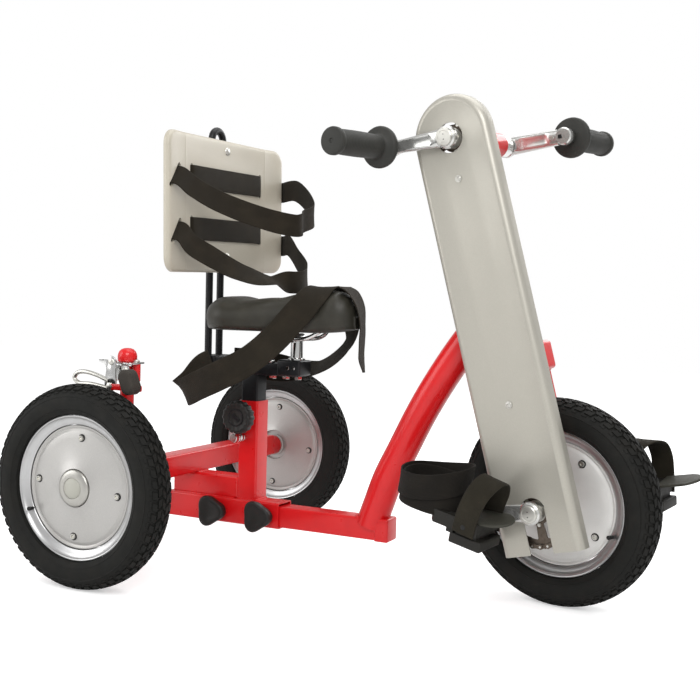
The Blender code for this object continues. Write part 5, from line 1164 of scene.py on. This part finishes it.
def build_saddle():
    """Padded shell with a straight skirt, a soft dimple and a lifted nose."""
    stations = 56
    skirt = 20
    loops = []
    for index in range(stations + 1):
        share = 0.5 - 0.5 * math.cos(math.pi * index / stations)
        x = SADDLE_REAR + 0.5 + (SADDLE_LENGTH - 1) * share
        half = saddle_half(share)
        edge = SADDLE_LOW + 9 * max(0.0, (share - 0.7) / 0.3) ** 2 + skirt
        loop = []
        for side, rise in circle(1, 72):
            if rise >= 0:
                width = half * bulge(side, 0.75)
                pucker = noise.noise(Vector((x * 0.030, width * 0.030, 4.0))) * 0.7
                dent = 2.2 * math.exp(-((x - 205) / 20) ** 2 - ((width + 30) / 18) ** 2)
                height = edge + (saddle_top(share) - edge) * rise ** 0.8 + (pucker - dent) * rise
            else:
                width = half * 0.955 * bulge(side, 0.45)
                height = edge + 19.7 * bulge(rise, 0.45)
            if 0 <= rise < 0.02:
                width *= 0.992
            loop.append((x, width, height))
        loops.append(loop)
    saddle = dress("saddle", skin(loops), "seat", "vinyl", sharp=70)


build_seat()
build_saddle()


# Backrest

def panel_loop(inset, x):
    half = PANEL_EDGE - inset
    corner = max(25 - inset, 4)
    side = half - corner
    high = 729 - inset - corner
    low = 499 + inset + corner
    points = []
    for index, (cy, cz) in enumerate(((side, high), (-side, high), (-side, low), (side, low))):
        points += [(x, y, z) for y, z in arc(cy, cz, corner, 90 * index, 90 * index + 90, 10)]
    return points


def slot_cut(one, two):
    (y0, z0), (y1, z1) = one, two
    radius = 4.5
    reach = math.hypot(y1 - y0, z1 - z0) / 2 - radius
    bm = prism(arc(0, reach, radius, 0, 180, 8) + arc(0, -reach, radius, 180, 360, 8), -30, 40)
    angle = math.degrees(math.atan2(y0 - y1, z1 - z0))
    bm.transform(move(PANEL_FRONT, (y0 + y1) / 2, (z0 + z1) / 2) @ spin("X", angle) @ spin("Z", 90))
    return bm


def build_backrest():
    section = [(21.5, 60), (15, 60), (8, 59.9), (5, 59.6), (2.8, 58.8), (1.2, 57.4), (0.3, 55.6),
               (0, 53.5), (0, 48.8), (0.6, 47.8), (2.2, 47.6), (3.2, 48.4), (3.6, 53), (5.2, 55),
               (10, 55.3), (21.5, 55.1)]
    bm = skin([panel_loop(inset, x) for inset, x in section])
    for crease in [side * (CREASE + aside) for side in (-1, 1) for aside in (3, 1.4, 0, -1.4, -3)]:
        geometry = list(bm.verts) + list(bm.edges) + list(bm.faces)
        bmesh.ops.bisect_plane(bm, geom=geometry, plane_co=(0, crease, 0), plane_no=(0, 1, 0))
    for vert in bm.verts:
        beyond = abs(vert.co.y) - CREASE
        vert.co.x += max(0.0, beyond) * FOLD + 0.7 * max(0.0, 1 - abs(beyond) / 3)
    cuts = [slot_cut((side * BELT_SLOT, z - 21.5), (side * BELT_SLOT, z + 21.5)) for z in (658, 572)
            for side in (-1, 1)]
    cuts += [slot_cut(*UPPER_WING), slot_cut(*LOWER_WING)]
    dress("back_panel", bm, "backrest", "panel", ROLLED, cuts=cuts, sharp=32)
    radius = 6.35
    x = 36.5
    half = 17
    leg = [(x, -half, z) for z in (292, 400, 550, 700)]
    bend = [(x, -half * math.cos(math.pi * k / 8), 754 - half - radius
             + half * math.sin(math.pi * k / 8))
            for k in range(9)]
    route = leg + bend + [(x, half, z) for _, _, z in reversed(leg)]
    dress("back_hoop", tube(route, radius, 28, 4), "backrest", "black")
    back = x - radius - 4
    plates = []
    heads = []
    for z in (527, 710):
        plates += [rod((back, 0, z), (x, 0, z), 19, 40, 0.8), rod((back, 0, z), (54.5, 0, z), 3, 16)]
        heads.append(spun([(0, 0), (7.5, 0), (7.2, 1), (5.8, 2.4), (2.4, 3.6), (0, 3.8)], 32,
                          (59.2, 0, z), (1, 0, 0)))
    piece("hoop_plates", merge(*plates), "backrest", "black", ROLLED)
    piece("panel_bolt_heads", merge(*heads), "backrest", "zinc", ROLLED)


def chest_belt(name, slot_z, wing_slot, near_side, far_side, fold, laid=0.0):
    """One closed ring of webbing through the panel's slots and loosely across the front."""
    face = 62.2
    behind = 52.6
    edge = PANEL_EDGE
    (y0, z0), (y1, z1) = wing_slot
    near_y = (y0 + y1) / 2
    near_z = (z0 + z1) / 2
    slant = Vector((0, y0 - y1, z0 - z1)).normalized()
    up = Vector(UP)
    wing = (abs(near_y) - CREASE) * FOLD
    bend = (edge - CREASE) * FOLD
    rim_back = 47.5
    slot = BELT_SLOT

    def loose(points):
        return [(PANEL_FRONT + x * edge, y * edge, slot_z + z * edge) for x, y, z in points]

    stations = [((face, y, slot_z), up) for y in (slot - 7, 50, 0, -50, 7 - slot)]
    stations += [((face - 1.5, -slot, slot_z), up), ((behind + 1.5, -slot, slot_z), up),
                 ((behind, -slot - 7, slot_z), up),
                 ((behind + 0.4, -129, (slot_z * 2 + near_z) / 3), up + slant * 0.4),
                 ((behind + wing - 2, near_y + 7, near_z), slant),
                 ((behind + wing + 1.2, near_y, near_z), slant),
                 ((face + wing - 1, near_y, near_z), slant),
                 ((face + wing + 6, near_y + 4, near_z - 3), slant)]
    steps = len(near_side)
    for index, point in enumerate(loose(near_side)):
        lean = (up * (index + 1) + slant * (steps - index)).normalized()
        lain = laid * max(0.0, (index - 1) / (steps - 2))
        stations.append((point, lean * (1 - lain) + Vector((-0.57, 0.82, 0)) * lain))
    stations += [(point, up) for point in loose(fold + far_side)]
    far_z = loose(far_side)[-1][2]
    stations += [((x, y, z), up) for x, y, z in (
        (face + bend + 1.2, edge - 2, far_z), (face + bend - 3, edge + 2.8, far_z),
        (rim_back + bend, edge + 2.8, far_z), (rim_back + bend - 3, edge + 0.2, far_z),
        (rim_back + 1, 131, (far_z + slot_z) / 2), (behind, slot + 7, slot_z),
        (behind + 1.5, slot, slot_z), (face - 1.5, slot, slot_z))]
    points = [point for point, _ in stations]
    leans = [lean.normalized() for _, lean in stations]
    shape = band(points, leans, STRAP, 1.8, 3, slot_z * 0.009, ruffle=1.6)
    item = dress(name, shape, "backrest", "belt", ROLLED, sharp=65)


def open_belt(name, points, leans, seed, pointed=0):
    leans = [Vector(lean).normalized() for lean in leans]
    shape = band(points, leans, LAP_STRAP, 1.9, 4, seed, ruffle=1.4, closed=False, pointed=pointed)
    item = dress(name, shape, "seat", "belt", sharp=65)


build_backrest()
# Loose parts of the chest belts in shares of the panel's half width, from the slot's height
chest_belt("upper_chest_belt", 658, UPPER_WING,
           [(0.110, -0.758, -0.099), (0.209, -0.593, -0.198), (0.330, -0.412, -0.280),
            (0.478, -0.231, -0.352),
            (0.626, -0.066, -0.407)],
           [(0.742, 0.187, -0.385), (0.735, 0.407, -0.320), (0.570, 0.615, -0.185),
            (0.275, 0.857, -0.030)],
           [(0.760, 0.033, -0.432), (0.775, 0.093, -0.420)])
chest_belt("lower_chest_belt", 572, LOWER_WING,
           [(0.110, -0.769, -0.148), (0.220, -0.615, -0.258), (0.352, -0.440, -0.370),
            (0.473, -0.275, -0.440),
            (0.593, -0.110, -0.475)],
           [(0.755, 0.187, -0.480), (0.680, 0.385, -0.415), (0.450, 0.615, -0.275),
            (0.190, 0.868, -0.115)],
           [(0.703, 0.022, -0.490), (0.740, 0.088, -0.490)], 0.75)
open_belt("lap_belt_right", [(58, -34.5, 341), (42, -36.5, 333), (25, -46, 308),
                             (13, -57, 292), (26, -70, 291), (62, -83, 305), (110, -91, 325),
                             (160, -88, 350), (198, -72, 384.5), (235, -50, 433.5),
                             (252, -36, 459), (261, -16, 475), (264, -2, 476.8)],
          [(0, 0, 1), (-0.2, 0, 1), (-0.5, 0, 0.85), (-0.56, 0, 0.83), (-0.55, 0, 0.83), (-0.4, 0, 0.92),
           (-0.6, 0, 0.8), (-0.8, 0, 0.6), (-0.76, 0, 0.65), (-0.76, -0.1, 0.6), (-0.85, 0.1, 0.45),
           (-0.97, 0.1, 0.10), (-1, 0.1, -0.03)], 1)
open_belt("lap_belt_left", [(58, 34.5, 341), (90, 39, 340), (130, 52, 334), (175, 56, 330),
                            (214, 52, 335), (252, 50, 354), (278, 49, 380), (285.5, 47, 404),
                            (282, 45.5, 432), (272, 38, 462), (266, 17, 475), (264, 2, 476.8)],
          [(0, 0, 1), (0, 0, 1), (-0.15, 0.1, 1), (-0.45, 0.6, 0.6), (-0.58, 0.78, 0.28),
           (-0.58, 0.80, 0.22), (-0.60, 0.78, 0.18), (-0.75, 0.5, 0.15), (-0.95, 0.25, 0.1),
           (-1, 0.1, 0.1), (-1, 0.1, 0.02), (-1, 0.1, -0.03)], 2)
open_belt("lap_belt_tail", [(293.5, 0, 477.5), (308, 0, 470.5), (323.5, 0, 447),
                            (329, 0, 415), (328.5, 0, 385), (328.5, 0, 358), (333.5, 0, 337)],
          [(0, 1, 0), (-0.05, 1, 0), (-0.15, 0.98, 0), (-0.26, 0.97, 0), (-0.26, 0.97, 0),
           (-0.26, 0.97, 0.04), (-0.26, 0.97, 0.08)], 3, 24)


# Knobs and the pull pin

def lobed(radius, lobe, lobes, steps, start=0, power=1.0):
    """An outline with even lobes."""
    points = []
    for step in range(steps):
        angle = 360 * step / steps
        wave = math.cos(math.radians(lobes * (angle - start)))
        points.append(polar(radius + lobe * bulge(wave, power), angle))
    return points


def knob_stem(neck, seat, thread):
    """The neck of a knob and its thread, between their Y places."""
    return merge(rod((0, neck, 0), (0, seat, 0), 9.8, 32, 0.8),
                 rod((0, -30, 0), (0, thread, 0), 3.9, 16))


def build_knobs():
    rounding = ((15.5, 2.2), (12, 1.2), (6, 0.2), (3.5, 0.1), (1.2, 1), (0.2, 3), (0, 6), (0.8, 12),
                (2.2, 17), (4.2, 19.2), (8, 20))
    for name, x in (("boom_knob_1", 62), ("boom_knob_2", 156)):
        place = MACHINE @ move(x, 0, SLEEVE_Z - 1)
        outlines = [(lobed(25 - inset, 3.6 * (1 - inset / 20), 3, 72, 122), y - 45.7)
                    for inset, y in rounding]
        dress(name, stacked(outlines), name, "knob", place, sharp=50)
        piece(name + "_neck", knob_stem(-30, -23.1, -18.6), name, "knob", place)
        nut = spun([(4.8, 0), (9.2, 0), (8.8, 0.6), (4.8, 0.6)], 32, (0, -21.9, 0), (0, -1, 0), True)
        piece(name + "_seat", nut, name, "zinc", place)
    place = MACHINE @ move(SEAT_X, 0, 252)
    face = -59
    rounding = ((7.2, 0.6), (6.2, 0), (4, 0), (2.4, 0.6), (0.8, 2.4), (0, 5), (0, 15), (1, 18),
                (3, 20), (7, 21))
    outlines = [(lobed(27.8 - inset, 0.9, 16, 128, power=0.6), face + y) for inset, y in rounding]
    dress("seat_knob", stacked(outlines), "seat_knob", "knob", place, sharp=50)
    ring = spun([(12.5, 0), (15, 0), (14.8, 1), (12.7, 1)], 48, (0, face + 0.6, 0), (0, -1, 0), True)
    plate = prism(oblong(-8.5, -3.5, 8.5, 3.5, 1, 2), face - 0.4, face + 0.8)
    plate.transform(spin("Y", 38))
    piece("seat_knob_ring", merge(ring, plate), "seat_knob", "black", place, "black_plastic",
          bevel=0.2, segments=1)
    piece("seat_knob_neck", knob_stem(-40, -22.2, -16.3), "seat_knob", "zinc", place, "black_plastic")
    x = 112
    z = 215
    button = [(0, 34), (7, 34), (7.5, 34.5), (7.5, 36.8), (6.6, 37.4), (6.6, 38.4), (7.5, 39),
              (7.5, 48.2), (6.8, 48.9), (0, 48.9)]
    pin = merge(rod((x, -16.4, z), (x, -40, z), 3.4, 20), spun(button, 32, (x, 0, z), (0, -1, 0)))
    dress("pull_pin", pin, "pull_pin", "chrome")
    barrel = [(3.8, 19.3), (7.8, 19.3), (7.8, 23.2), (7, 23.8), (7.8, 24.4), (7.8, 29.8),
              (6, 32), (3.8, 32)]
    dress("pull_pin_barrel", spun(barrel, 32, (x, 0, z), (0, -1, 0), True), "frame", "chrome")


build_knobs()


# Parking brake

def on_post(x, low, high, radius, sides, edge=0):
    """An upright rod in the plane of the brake post."""
    return rod((x, POST_Y, low), (x, POST_Y, high), radius, sides, edge)


def build_bracket():
    cap = [(0, 21.3), (5, 20.9), (9.5, 19.3), (12.8, 16.2), (14.8, 12), (15.4, 8), (15.4, 0.8),
           (14.9, 0), (11.8, 0),
           (11.8, 8), (0, 8)]
    dress("brake_post_cap", spun(cap, 56, (POST_X, POST_Y, 350), UP), "frame", "red")
    top = 349.2
    low = top - 20
    sheet = 2.6
    collar = merge(on_post(POST_X, top - 6.2, top, 14.3, 48, 0.4),
                   on_post(POST_X, low, low + 5, 14.3, 48, 0.4))
    piece("brake_collar", collar, "frame", "chrome", slot="steel", replaces=("brake_bracket",),
          cuts=[on_post(POST_X, low - 10, top + 10, 11.4, 40)])
    upper = flat_prism(oblong(POST_X - 14, POST_Y - 24, POST_X + 25.5, POST_Y + 14, 6), top - sheet, top)
    piece("brake_top_plate", upper, "frame", "chrome", slot="steel", bevel=0.6, segments=2,
          cuts=[on_post(POST_X, low - 10, top + 10, 11.4, 40)])
    y = POST_Y - 24.3
    side_plate = prism(fillet([(13, 316.8), (44, 329), (44, 344), (13, 345)], 3.5), y, y + sheet)
    piece("brake_side_plate", side_plate, "frame", "chrome", slot="steel", bevel=0.5, segments=2)
    x = POST_X + 18
    piece("brake_stay", on_post(x, 319, top - sheet + 0.2, 6.6, 32, 0.8), "frame", "red")
    bolts = [hexagon((37, y, 338.5), (37, y - 3, 338.5), 8),
             spun([(0, 0), (5.2, 0), (5, 2.4), (3, 4), (0, 4.4)], 24, (x, POST_Y, top), UP),
             spun([(0, -0.8), (2.8, 0), (5, 2.2), (5.4, 4.4), (4, 7), (0, 8.2)], 24,
                  (x, POST_Y, 319.2), (0, 0, -1))]
    piece("brake_plate_bolts", merge(*bolts), "frame", "zinc")


def build_lever():
    near = -258
    far = -252
    hub = MACHINE @ move(18, 0, 350)
    outline = fillet([(8, 6), (0, 10), (-10, 9), (-24, 8), (-26, 0), (-14, -3), (-10, -10), (-14, -34),
                      (-12, -42), (4, -46), (10, -36), (8, -20)], 4, 3)
    piece("brake_lever_plate", prism(outline, near + 1.4, far - 1.4), "brake", "chrome", hub,
          replaces=("brake_lever",), bevel=0.9)
    loop = [(-6, -30), (-30, -22), (-56, -18), (-70, -21), (-75, -29), (-67, -36), (-40, -37), (-4, -42)]
    piece("brake_handle", tube([(x, (near + far) / 2, z) for x, z in loop], 3.6, 20, 3), "brake", "zinc",
          hub, "chrome")
    arm = prism(oblong(-2, -44, 58, -34, 3, 3), near + 1.2, far - 1.2)
    piece("brake_pad_arm", arm, "brake", "red", hub, "chrome", bevel=0.7, segments=2)
    nuts = [hexagon((0, near + 1.2, 0), (0, near - 0.4, 0), 9.6),
            hexagon((-3, near + 1.2, -38.5), (-3, near - 0.6, -38.5), 10.5),
            rod((0, far - 1, 0), (0, -246, 0), 3, 20)]
    piece("brake_nuts", merge(*nuts), "brake", "zinc", hub, "chrome")
    (x0, z0), (x1, z1) = (44, -20.5), (50, -36)
    tilt = math.degrees(math.atan2(z1 - z0, x1 - x0))

    def pill(radius):
        start = arc(x0, z0, radius, tilt + 90, tilt + 270, 20)
        return start + arc(x1, z1, radius, tilt - 90, tilt + 90, 20)

    rounding = ((6, 24.8), (3, 24.5), (1.2, 23.4), (0.2, 21.5), (0, 19), (0, 4), (0.6, 2), (2.2, 0.6))
    dress("brake_pad", stacked([(pill(11.8 - inset), near - y) for inset, y in rounding]), "brake",
          "pad", hub, sharp=50)


build_bracket()
build_lever()


# Camera, light and ground

def link(item):
    bpy.context.scene.collection.objects.link(item)
    return item


def camera():
    """The photo's eye point: level height of the seat, ahead of the rear axle on the rider's right."""
    side, ahead = polar(1, 26.38)
    level, rise = polar(1, 2.68)
    back = Vector((ahead * level, -side * level, rise))
    flat = Vector((side, ahead, 0))
    above = back.cross(flat)
    upright, roll = polar(1, 1.43)
    right = flat * upright + above * roll
    up = above * upright - flat * roll
    data = bpy.data.cameras.new("camera")
    data.lens = 1038 * 36 / 700
    data.sensor_width = 36
    data.clip_start = 0.05
    item = link(bpy.data.objects.new("camera", data))
    eye = MACHINE @ Vector((1073, -1544, 454))
    item.matrix_world = Matrix.Translation(eye) @ Matrix((right, up, back)).transposed().to_4x4()
    bpy.context.scene.camera = item


def lamp(name, place, height, size, power):
    """A large soft lamp that looks at a height over the middle, in metres and watts."""
    data = bpy.data.lights.new(name, "AREA")
    data.shape = "RECTANGLE"
    data.size, data.size_y = size
    data.energy = power
    item = link(bpy.data.objects.new(name, data))
    look = Vector((0, 0, height)) - Vector(place)
    item.matrix_world = Matrix.Translation(place) @ look.to_track_quat("-Z", "Y").to_matrix().to_4x4()


def sky(strength):
    """A sky that lights evenly and that the camera sees as pure white."""
    world = bpy.data.worlds.new("studio")
    bpy.context.scene.world = world
    world.use_nodes = True
    tree = world.node_tree
    lit = tree.nodes["Background"]
    white = tree.nodes.new("ShaderNodeBackground")
    for node, power in ((lit, strength), (white, 1.0)):
        node.inputs[0].default_value = (1, 1, 1, 1)
        node.inputs[1].default_value = power
    path = tree.nodes.new("ShaderNodeLightPath")
    mix = tree.nodes.new("ShaderNodeMixShader")
    tree.links.new(path.outputs["Is Camera Ray"], mix.inputs[0])
    tree.links.new(lit.outputs[0], mix.inputs[1])
    tree.links.new(white.outputs[0], mix.inputs[2])
    tree.links.new(mix.outputs[0], tree.nodes["World Output"].inputs[0])


def ground():
    """A pale matt floor that glows a little for the camera alone."""
    mesh = bpy.data.meshes.new("floor")
    mesh.from_pydata([(-6, -6, 0), (6, -6, 0), (6, 6, 0), (-6, 6, 0)], [], [(0, 1, 2, 3)])
    material = bpy.data.materials.new("floor")
    material.use_nodes = True
    tree = material.node_tree
    inputs = tree.nodes["Principled BSDF"].inputs
    inputs["Base Color"].default_value = (0.86, 0.86, 0.86, 1)
    inputs["Roughness"].default_value = 0.9
    inputs["Specular IOR Level"].default_value = 0.0
    inputs["Emission Color"].default_value = (1, 1, 1, 1)
    path = tree.nodes.new("ShaderNodeLightPath")
    glow = Value(tree, path.outputs["Is Camera Ray"]) * 0.45
    tree.links.new(glow.socket, inputs["Emission Strength"])
    mesh.materials.append(material)
    link(bpy.data.objects.new("floor", mesh))


bpy.context.scene.view_settings.view_transform = "Standard"
camera()
sky(0.64)
ground()
lamp("key", (1.2, -2.4, 2.2), 0.35, (1.6, 1.6), 52)
lamp("fill", (-2.2, -1.6, 1.2), 0.35, (1.4, 1.8), 22)
lamp("top", (0.2, 0.4, 2.6), 0.3, (2.2, 2.2), 34)
lamp("rim", (0.6, 2.4, 1.6), 0.4, (1.8, 1.2), 24)
